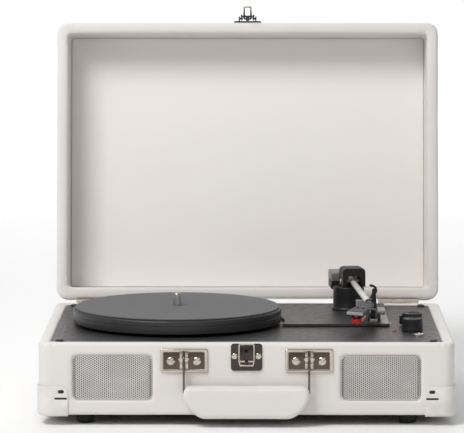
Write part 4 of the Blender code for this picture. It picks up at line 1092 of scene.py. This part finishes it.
def platter():
    """The platter with its drive ring and hub, the felt mat on it, and the spindle through both."""
    place = placed(PLATTER_AXIS.x, PLATTER_AXIS.y, RIM)
    outer, top, low = 91.0, 13.2, 1.8
    rim = [(outer - 1.2 + 1.2 * sin(t), top - 1.2 + 1.2 * cos(t))
           for t in (pi / 2 * i / 5 for i in range(6))]
    foot = [(outer - 0.6 + 0.6 * cos(t), low + 0.6 - 0.6 * sin(t))
            for t in (pi / 2 * i / 3 for i in range(4))]
    profile = ([(3.75, top), (5.5, top), (5.8, top - 0.3), (7.2, top - 0.3), (7.5, top)] + rim
               + [(outer, top - 4.2), (outer - 0.35, top - 4.5), (outer - 0.35, top - 5.1),
                  (outer, top - 5.4)]
               + foot + [(88.8, low), (88.8, top - 2.4), (57.0, top - 2.4), (57.0, low + 0.6),
                         (55.0, low + 0.6), (55.0, top - 2.4), (9.0, top - 2.4), (9.0, low), (3.75, low)])
    work = bmesh.new()
    turned(work, profile, place, 180, closed=True)
    piece("platter_disc", work, PLATTER, "platter", ["platter"], angle=30)
    work = bmesh.new()
    mat = [(4.2, 14.55), (4.4, 14.7)]
    mat += [(4.4 + (88.5 - 4.4) * k / 20, 14.7) for k in range(1, 21)]
    mat += [(88.85, 14.55), (89.0, 14.2), (88.95, 13.7), (88.7, 13.5), (4.4, 13.5), (4.2, 13.7)]
    turned(work, mat, place, 180, closed=True)
    for vert in work.verts:
        away = hypot(vert.co.x - PLATTER_AXIS.x, vert.co.y - PLATTER_AXIS.y)
        if away > 88 * MM:
            push = 1 + 0.0012 * noise.noise(vert.co * 160)
            vert.co.x = PLATTER_AXIS.x + (vert.co.x - PLATTER_AXIS.x) * push
            vert.co.y = PLATTER_AXIS.y + (vert.co.y - PLATTER_AXIS.y) * push
    piece("felt_mat", work, FELT, "platter", ["slipmat"], angle=40)
    work = bmesh.new()
    tip = [(3.55 * cos(t), 24.4 + 2.6 * sin(t)) for t in (pi / 2 * i / 8 for i in range(9))]
    shaft = [(r, z) for r, z in reversed(tip) if r > 1e-6]
    turned(work, [(0, 27.0)] + shaft + [(3.55, -3.8), (9.0, -3.8), (9.0, -6.5), (4.5, -6.5), (4.5, -11.5),
                                        (0, -11.5)], place, 48)
    piece("spindle_pin", work, STEEL, "base", ["spindle"])


def drive():
    """The belt, the motor's can and the stepped pulley."""
    refined("drive_belt", RUBBER, "base", 0.15, 40)
    low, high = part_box("drive_motor")
    middle = (low + high) / 2
    work = bmesh.new()
    turned(work, [(1.1, 0.0), (4.0, 0.0), (4.0, -1.0), (13.4, -1.0), (15.0, -2.2), (15.0, -18.0),
                  (14.6, -18.4), (14.6, -19.0), (15.0, -19.4), (15.0, -24.0), (14.0, -25.0), (1.1, -25.0)],
           placed(middle.x, middle.y, 0), 56, closed=True, up=high.z)
    piece("motor_can", work, STEEL, "base", ["drive_motor"])
    low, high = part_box("motor_pulley")
    middle = (low + high) / 2
    work = bmesh.new()
    turned(work, [(0, 9.6), (1.1, 9.6), (1.3, 9.2), (4.4, 9.2), (4.7, 9.6), (7.3, 9.6), (7.4, 9.4),
                  (7.4, 8.9),
                  (6.6, 8.2), (6.45, 6.0), (6.6, 3.8), (7.4, 3.1), (7.4, 2.6), (7.2, 2.4), (1.2, 2.4),
                  (1.2, -2.4), (0, -2.4)], placed(middle.x, middle.y, 0), up=RIM)
    piece("pulley_brass", work, BRASS, "motor_pulley", ["motor_pulley"])


def electronics():
    """The circuit board with two capacitors, the controls' bodies, the lamp and the headphone socket."""
    refined("circuit_board", BOARD, "base", 0.15)
    work = bmesh.new()
    for x, y, radius, tall in ((32, 85.25, 5.2, 13.4), (46, 89.25, 4.2, 10.4)):
        lathe(work, [(r * radius * MM, z * tall * MM) for r, z in
                     ((0, 0.99), (0.7, 0.99), (0.8, 1.0), (0.98, 1.0), (1.0, 0.97), (1.0, 0.12),
                      (0.94, 0.1), (0.94, 0.06), (1.0, 0.04), (1.0, 0.0), (0, 0.0))],
              placed(x * MM, y * MM, RIM - 46.3 * MM), 32)
    piece("capacitors", work, BLACK, "base")
    for node in ("volume_pot", "selector_switch"):
        low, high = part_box(node)
        middle = (low + high) / 2
        work = bmesh.new()
        turned(work, [(0, 6.0), (2.4, 6.0), (2.9, 5.5), (2.9, -2.6), (3.6, -2.9), (3.6, -3.8), (7.6, -3.8),
                      (8.2, -4.4), (8.2, -11.4), (7.8, -12.2), (7.4, -12.8), (0, -12.8)],
               placed(middle.x, middle.y, 0), 40, up=RIM)
        piece(f"{node}_body", work, STEEL, "base", [node])
    low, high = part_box("power_led")
    middle = (low + high) / 2
    work = bmesh.new()
    dome = [(1.45 * cos(t), -0.9 + 1.4 * sin(t)) for t in (pi / 2 * i / 6 for i in range(6))]
    turned(work, [(0, 0.5)] + dome[::-1] + [(1.45, -6), (0, -6)], placed(middle.x, middle.y, 0), 28, up=RIM)
    piece("led_lens", work, LENS, "base", ["power_led"])
    low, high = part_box("headphone_jack")
    middle = (low + high) / 2
    work = bmesh.new()
    turned(work, [(1.8, 0.4), (2.1, 0.8), (2.6, 0.9), (3.7, 0.9), (4.2, 0.6), (4.6, -0.3), (4.6, -0.7),
                  (3.1, -0.7), (3.1, -14.0), (1.8, -14.0)], placed(middle.x, middle.y, 0), 36, closed=True,
           up=RIM)
    piece("headphone_socket", work, NICKEL, "base", ["headphone_jack"])


def knobs():
    """Straight-sided knobs with fine ribs, a dished top and, on the selector, a pointer."""
    for node, joint in (("volume_knob", "volume_turn"), ("selector_knob", "selector_turn")):
        axis = Vector(JOINTS[joint]["pos_m"])
        place = placed(axis.x, axis.y, RIM)
        low, top, sides = -0.5, 10.0, 144
        profile = [(0, top - 0.9), (4.4, top - 0.8), (6.4, top - 0.55), (7.0, top - 0.1), (7.4, top),
                   (8.0, top),
                   (8.5, top - 0.2), (8.75, top - 0.7), (8.85, 6.0), (8.95, 1.6), (9.0, 1.2), (9.0, low),
                   (3.2, low), (3.2, 6.4), (0, 6.4)]
        work = bmesh.new()
        verts = turned(work, profile, Matrix.Identity(4), sides)
        for vert in verts:
            away = hypot(vert.co.x, vert.co.y)
            if away > 8.6 * MM and 1.4 * MM < vert.co.z < 9.5 * MM:
                rib = 1 - 0.022 * (0.5 + 0.5 * cos(48 * atan2(vert.co.y, vert.co.x)))
                vert.co.x, vert.co.y = vert.co.x * rib, vert.co.y * rib
        if node == "selector_knob":
            slab(work, (3.4 * MM, 1.7 * MM, 7.6 * MM), 0.5 * MM, 0.35 * MM, placed(-9.3 * MM, 0, 3.7 * MM))
        piece(f"{node}_cap", work, BLACK, node, [node], matrix=place, angle=40)
        work = bmesh.new()
        relief(work, 3.6 * MM, 0.8 * MM, 0.3 * MM, [(0, 0), (0, 0.12 * MM), (0.1 * MM, 0.16 * MM)],
               place @ Matrix.Translation((-4.9 * MM, 0, (top - 0.75) * MM)), 3)
        piece(f"{node}_mark", work, WHITE_MARK, node)


def sockets():
    """The rear plate: a red and a white phono socket, a small line socket and the power inlet."""
    low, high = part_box("jack_panel")
    face, middle = BACK - 0.2 * MM, (low + high) / 2
    work = bmesh.new()
    relief(work, 86 * MM, 22 * MM, 2.0 * MM, [(0.3 * MM, -2.0 * MM), (0, -1.8 * MM), (0, -0.4 * MM),
                                             (0.15 * MM, -0.1 * MM), (0.5 * MM, 0), (1.6 * MM, 0),
                                             (1.9 * MM, -0.25 * MM)], placed(middle.x, face, middle.z, "Y"),
           8)
    made = piece("socket_plate", work, BLACK, "base", ["jack_panel"])
    holes = [tool(f"hole_{i}", (2 * r * MM, 2 * r * MM, 12 * MM), (middle.x + x * MM, face, middle.z),
                  r * MM,
                  facing="Y") for i, (x, r) in enumerate(((8.0, 1.8), (29.0, 2.7)))]
    cut(made, holes)
    for i, (x, look) in enumerate(((-30.0, RED_RING), (-14.0, WHITE_RING))):
        place = placed(middle.x + x * MM, face, middle.z, "Y")
        work = bmesh.new()
        turned(work, [(4.3, 0.0), (5.6, 0.0), (5.6, 1.1), (5.3, 1.4), (4.7, 1.4), (4.3, 1.0)], place, 40,
               closed=True)
        piece(f"phono_ring_{i}", work, look, "base")
        work = bmesh.new()
        turned(work, [(1.7, 8.0), (2.6, 8.2), (3.9, 8.2), (4.1, 7.9), (4.1, 1.8), (4.25, 1.5), (4.25, -1.0),
                      (1.7, -1.0)], place, 40, closed=True)
        piece(f"phono_barrel_{i}", work, NICKEL, "base")
        work = bmesh.new()
        turned(work, [(1.7, 7.4), (2.5, 7.6), (2.5, 7.9), (1.6, 7.9)], place, 32, closed=True)
        piece(f"phono_insulator_{i}", work, look, "base")
    for i, (x, outer, bore, look) in enumerate(((8.0, 4.0, 1.8, NICKEL), (29.0, 5.2, 2.7, BLACK))):
        place = placed(middle.x + x * MM, face, middle.z, "Y")
        work = bmesh.new()
        turned(work, [(bore, 1.2), (bore + 0.4, 1.5), (outer - 0.5, 1.6), (outer, 1.2), (outer, 0.0),
                      (outer, -0.3), (bore, -0.3)], place, 40, closed=True)
        if look is BLACK:
            turned(work, [(0, 1.0), (0.5, 0.9), (0.65, 0.5), (0.65, -3.0), (0, -3.0)], place, 20)
            turned(work, [(0, -3.0), (bore, -3.0), (bore, -3.4), (0, -3.4)], place, 40)
        piece(f"socket_collar_{i}", work, look, "base")


# ---------------------------------------------------------------- tonearm

ARM_HEADING, ARM_SLOPE, ARM_LENGTH = radians(8.0), radians(5.5), 90.0
SHELL_OFFSET, SHELL_PITCH, SHELL_LENGTH = radians(24.0), radians(2.9), 49.0
HEADING = Matrix.Rotation(ARM_HEADING, 4, "Z")
PIVOT = Vector(JOINTS["tonearm_swing"]["pos_m"])
YOKE = Matrix.Translation(PIVOT) @ HEADING
ARM = YOKE @ Matrix.Rotation(ARM_SLOPE, 4, "X")
SHELL = (ARM @ Matrix.Translation((0, -ARM_LENGTH * MM, 0)) @ Matrix.Rotation(-SHELL_OFFSET, 4, "Z")
         @ Matrix.Rotation(-SHELL_PITCH, 4, "X"))
REST = Matrix.Translation((PIVOT.x, PIVOT.y, RIM)) @ HEADING


def at(place, x, y, z):
    return place @ Matrix.Translation((x * MM, y * MM, z * MM))


def arm_support():
    """The turned pillar, and the yoke with its cap and pivot screws."""
    low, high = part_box("tonearm_pillar")
    middle = (low + high) / 2
    work = bmesh.new()
    turned(work, [(0, 22.1), (9.0, 22.1), (9.4, 22.5), (12.6, 22.5), (13.4, 22.2), (13.9, 21.5),
                  (13.9, 12.0),
                  (13.7, 11.8), (13.7, 11.4), (13.9, 11.2), (13.9, 4.6), (14.2, 3.6), (15.1, 2.6),
                  (15.1, 1.8), (0, 1.8)], placed(middle.x, middle.y, 0), 72, up=RIM)
    piece("pillar_turned", work, BLACK, "base", ["tonearm_pillar"], angle=30)
    refined("tonearm_yoke", BLACK, "tonearm_yoke", 0.7)
    work = bmesh.new()
    relief(work, 10.4 * MM, 9.0 * MM, 2.6 * MM, [(0, -0.1 * MM), (0, 0.15 * MM), (0.5 * MM, 0.3 * MM)],
           at(YOKE, 0, -1.0, 12.3), 4)
    piece("yoke_cap", work, BLACK, "tonearm_yoke")
    for sx in (-1, 1):
        work = bmesh.new()
        screw(work, at(YOKE, sx * 10.1, 0, 0) @ Matrix.Rotation(sx * pi / 2, 4, "Y"), 2.5 * MM, 0.9 * MM,
              slots=1,
              sides=24)
        piece(f"pivot_screw_{'left' if sx < 0 else 'right'}", work, STEEL, "tonearm_yoke",
              angle=30)


def arm():
    """The tube and its pin, the two-tone counterweight and the collar that joins the tube to the shell."""
    work = bmesh.new()
    path = [ARM @ Vector((0, y * MM, 0)) for y in (6.7, 0.0, -30.0, -60.0, -86.0, -88.6)]
    sweep(work, path, 2.6 * MM, 40)
    turned(work, [(0, 9.5), (1.4, 9.3), (1.4, -9.3), (0, -9.5)], ARM @ Matrix.Rotation(pi / 2, 4, "Y"), 20)
    piece("silver_arm_tube", work, SILVER, "tonearm", ["arm_tube"], angle=40)
    work = bmesh.new()
    along = ARM @ Matrix.Rotation(pi / 2, 4, "X")
    turned(work, [(2.65, 84.5), (3.0, 84.7), (3.25, 85.2), (3.25, 88.8), (3.0, 89.4), (2.65, 89.4)], along,
           40,
           closed=True)
    piece("arm_collar", work, BLACK_STEEL, "tonearm")
    work = bmesh.new()
    slab(work, (26.5 * MM, 19.0 * MM, 7.4 * MM), 1.6 * MM, 0.8 * MM, at(ARM, -2.75, 26.0, -0.3), 6)
    piece("counterweight_cap", work, SLATE, "tonearm", ["counterweight"])
    work = bmesh.new()
    slab(work, (26.1 * MM, 18.6 * MM, 8.0 * MM), 1.6 * MM, 0.8 * MM, at(ARM, -2.75, 26.0, -7.6), 6)
    turned(work, [(0, 7.0), (2.6, 7.0), (2.6, 18.0), (0, 18.0)], ARM @ Matrix.Rotation(-pi / 2, 4, "X"), 28)
    piece("counterweight_body", work, BLACK, "tonearm")


def head():
    """The headshell with its finger lift, the cartridge under it and the red stylus guard."""
    back = 1.66
    front = back + SHELL_LENGTH
    middle, cartridge = -(back + front) / 2, -front + 14.0

    def section(y, half, low, top, edge):
        """A rounded cross section of the shell."""
        return [SHELL @ Vector((x * MM, y * MM, ((top + low) / 2 + z) * MM))
                for x, z in outline(2 * half, top - low, edge, 4)]

    shape = [(0.0, 4.16, -1.9, 0.8, 0.8), (-0.5, 4.8, -2.3, 1.2, 1.0), (-1.4, 5.28, -2.5, 1.35, 1.1)]
    for y, low, top, edge in ((-8.0, -2.55, 1.4, 1.1), (-18.0, -2.6, 1.4, 1.1), (-30.0, -2.6, 1.4, 1.1),
                              (-42.0, -2.6, 1.4, 1.1), (-47.2, -2.6, 1.35, 1.0), (-48.4, -2.4, 0.9, 0.9),
                              (-49.0, -2.0, 0.2, 0.7)):
        shape.append((y, 8.0 * (0.66 - 0.34 * y / SHELL_LENGTH), low, top, edge))
    rings = [section(-back + y, half, low, top, edge) for y, half, low, top, edge in shape]
    work = bmesh.new()
    loft(work, rings)
    piece("headshell_cover", work, CHARCOAL, "tonearm", ["headshell"])
    work = bmesh.new()
    slab(work, (14.4 * MM, 2.6 * MM, 0.8 * MM), 0.35 * MM, 0.3 * MM, at(SHELL, 0, -front + 0.1, -0.3) @
         Matrix.Rotation(pi / 2, 4, "X"))
    slab(work, (3.4 * MM, 1.2 * MM, 0.7 * MM), 0.5 * MM, 0.25 * MM, at(SHELL, 0, cartridge - 10.0, -3.4) @
         Matrix.Rotation(pi / 2, 4, "X"))
    piece("headshell_lip", work, PALE_GREY, "tonearm")
    work = bmesh.new()
    lift = [(6.2, 0.5), (9.6, 0.7), (11.8, 0.75), (12.8, 0.5), (13.3, -0.2), (13.45, -1.4), (13.5, -3.2),
            (13.55, -5.2), (13.6, -6.0)]
    rings = []
    for i, (x, z) in enumerate(lift):
        ahead, behind = lift[min(i + 1, len(lift) - 1)], lift[max(i - 1, 0)]
        along = Vector((ahead[0] - behind[0], 0, ahead[1] - behind[1])).normalized()
        out = Vector((0, 1, 0)).cross(along) * 0.5
        half = 2.5 - 0.06 * i
        rings.append([SHELL @ ((Vector((x, middle - 3.0, z)) + Vector((0, dy * half, 0)) + out * s) * MM)
                      for dy, s in ((-1, -0.6), (-0.9, -1), (0.9, -1), (1, -0.6), (1, 0.6), (0.9, 1),
                                    (-0.9, 1), (-1, 0.6))])
    loft(work, rings)
    piece("finger_lift", work, CHARCOAL, "tonearm")
    work = bmesh.new()
    slab(work, (7.8 * MM, 20 * MM, 4.2 * MM), 0.8 * MM, 0.5 * MM, at(SHELL, 0, cartridge, -2.8))
    for sx in (-1, 1):
        screw(work, at(SHELL, sx * 2.4, cartridge + 5.0, 1.35), 1.25 * MM, 0.7 * MM, slots=1, sides=20)
    piece("cartridge_body", work, BLACK, "tonearm", ["cartridge"])
    rings = [section(cartridge + y, half, low, top, edge) for y, half, low, top, edge in
             ((8.6, 3.6, -8.6, -5.2, 0.9), (8.4, 4.0, -9.4, -5.1, 1.2), (6.5, 4.25, -10.0, -5.0, 1.3),
              (-3.0, 4.3, -10.2, -5.0, 1.3), (-8.2, 4.3, -10.2, -5.0, 1.3), (-9.9, 4.15, -10.0, -5.2, 1.2),
              (-10.4, 3.7, -9.4, -5.7, 1.0))]
    work = bmesh.new()
    loft(work, rings)
    rings = [section(cartridge + y, half, low, top, 0.5) for y, half, low, top in
             ((-10.1, 1.7, -8.6, -6.2), (-10.6, 1.5, -8.3, -6.5), (-10.65, 1.0, -7.9, -6.9))]
    loft(work, rings)
    piece("stylus_guard", work, RED, "tonearm", ["stylus"])
    work = bmesh.new()
    needle = at(SHELL, 0, cartridge - 6.0, 0)
    sweep(work, [needle @ Vector((0, 2.5 * MM, -9.8 * MM)), needle @ Vector((0, 0, -10.6 * MM)),
                 needle @ Vector((0, -0.6 * MM, -10.8 * MM))], 0.45 * MM, 12)
    turned(work, [(0, -9.9), (1.0, -9.9), (1.1, -10.6), (0.35, -11.6), (0.12, -12.2), (0, -12.3)], needle,
           20)
    piece("stylus_needle", work, STEEL, "tonearm")


def rest_and_clip():
    """The arm's rest, its clip, and the clip's pin."""
    refined("arm_rest", GREY, "base", 0.35)
    refined("arm_clip", BLACK, "arm_clip", 0.45)
    work = bmesh.new()
    for end in (-1, 1):
        turned(work, [(0, 0.4), (0.9, 0.35), (1.1, 0.0), (0, 0)],
               at(REST, 7.6, -60.0 + end * 3.9, 17.85) @ Matrix.Rotation(-end * pi / 2, 4, "X"), 20)
    piece("rest_pin_ends", work, STEEL, "base")


def cue():
    """The tapered cue lever and the hub that it turns on."""
    place = placed(*JOINTS["cue_lever_pivot"]["pos_m"])
    work = bmesh.new()
    across = place @ Matrix.Rotation(pi / 2, 4, "Y")
    turned(work, [(0, 24.0), (0.8, 23.9), (1.4, 23.4), (1.75, 22.5), (1.8, 21.0), (1.75, 19.0), (2.1, 14.0),
                  (2.9, 1.0), (2.9, 0), (0, 0)], place, 32)
    turned(work, [(0, 3.0), (2.7, 3.0), (3.1, 2.6), (3.1, -2.6), (2.7, -3.0), (0, -3.0)], across, 32)
    turned(work, [(0, 5.3), (1.0, 5.2), (1.0, -5.2), (0, -5.3)], across, 20)
    piece("cue_stick", work, BLACK, "cue_lever", ["cue_lever"], angle=40)


# ---------------------------------------------------------------- stage and camera

def studio():
    """A pale floor that curves up into a backdrop, soft light from the upper left, and the photo's camera."""
    scene = bpy.context.scene
    ahead, behind, curve_r, side, tall, steps = 6.0, 3.3, 0.9, 6.0, 4.0, 16
    turns = [pi / 2 * i / steps for i in range(1, steps + 1)]
    profile = [(-ahead, 0.0), (-1.5, 0.0), (0.0, 0.0), (behind, 0.0)]
    profile += [(behind + curve_r * sin(turn), curve_r * (1 - cos(turn))) for turn in turns]
    profile += [(behind + curve_r, tall)]
    work = bmesh.new()
    rows = [[work.verts.new((x, y, z)) for x in (-side, -2.0, 0.0, 2.0, side)] for y, z in profile]
    for low, high in zip(rows, rows[1:]):
        for i in range(len(low) - 1):
            work.faces.new((low[i], low[i + 1], high[i + 1], high[i]))
    mesh = bpy.data.meshes.new("floor")
    work.to_mesh(mesh)
    work.free()
    floor = bpy.data.objects.new("floor", mesh)
    floor.location.z = CAD_LOW[2]
    scene.collection.objects.link(floor)
    mesh.shade_smooth()
    mesh.materials.append(floor_look())
    world = bpy.data.worlds.new("studio")
    scene.world = world
    world.use_nodes = True
    world.node_tree.nodes["Background"].inputs["Color"].default_value = (1.0, 1.0, 1.0, 1.0)
    world.node_tree.nodes["Background"].inputs["Strength"].default_value = 0.33
    for name, place, aim, size, power in (("key", (-0.9, -1.1, 1.7), (0, 0, 0.12), 0.9, 29.0),
                                          ("front", (0.2, -2.4, 0.9), (0, 0, 0.12), 1.2, 3.0),
                                          ("top", (0.1, 0.4, 1.6), (0, 0, 0.12), 1.2, 3.0),
                                          ("backdrop", (0.0, 2.6, 2.2), (0.0, 3.2, 0.0), 2.5, 46.0)):
        light = bpy.data.lights.new(name, "AREA")
        light.energy, light.size = power, size
        lamp = bpy.data.objects.new(name, light)
        lamp.location = place
        lamp.rotation_euler = (Vector(aim) - Vector(place)).to_track_quat("-Z", "Y").to_euler()
        scene.collection.objects.link(lamp)
    eye = bpy.data.cameras.new("photo")
    eye.lens, eye.sensor_width, eye.sensor_fit = 252.12, 36.0, "HORIZONTAL"
    eye.clip_start, eye.clip_end = 0.05, 20.0
    camera = bpy.data.objects.new("photo", eye)
    camera.location = (0.00758, -2.81815, 0.4583)
    camera.rotation_euler = (radians(90 - 6.16), 0, radians(0.42))
    scene.collection.objects.link(camera)
    scene.camera = camera
    scene.view_settings.view_transform = "Standard"


base_cover()
lid_cover()
lid_lining()
corner_caps()
bottom()
grilles()
speakers()
brackets()
keeper()
grip()
links()
latch()
hinges()
deck()
platter()
drive()
electronics()
knobs()
sockets()
arm_support()
arm()
head()
rest_and_clip()
cue()
studio()
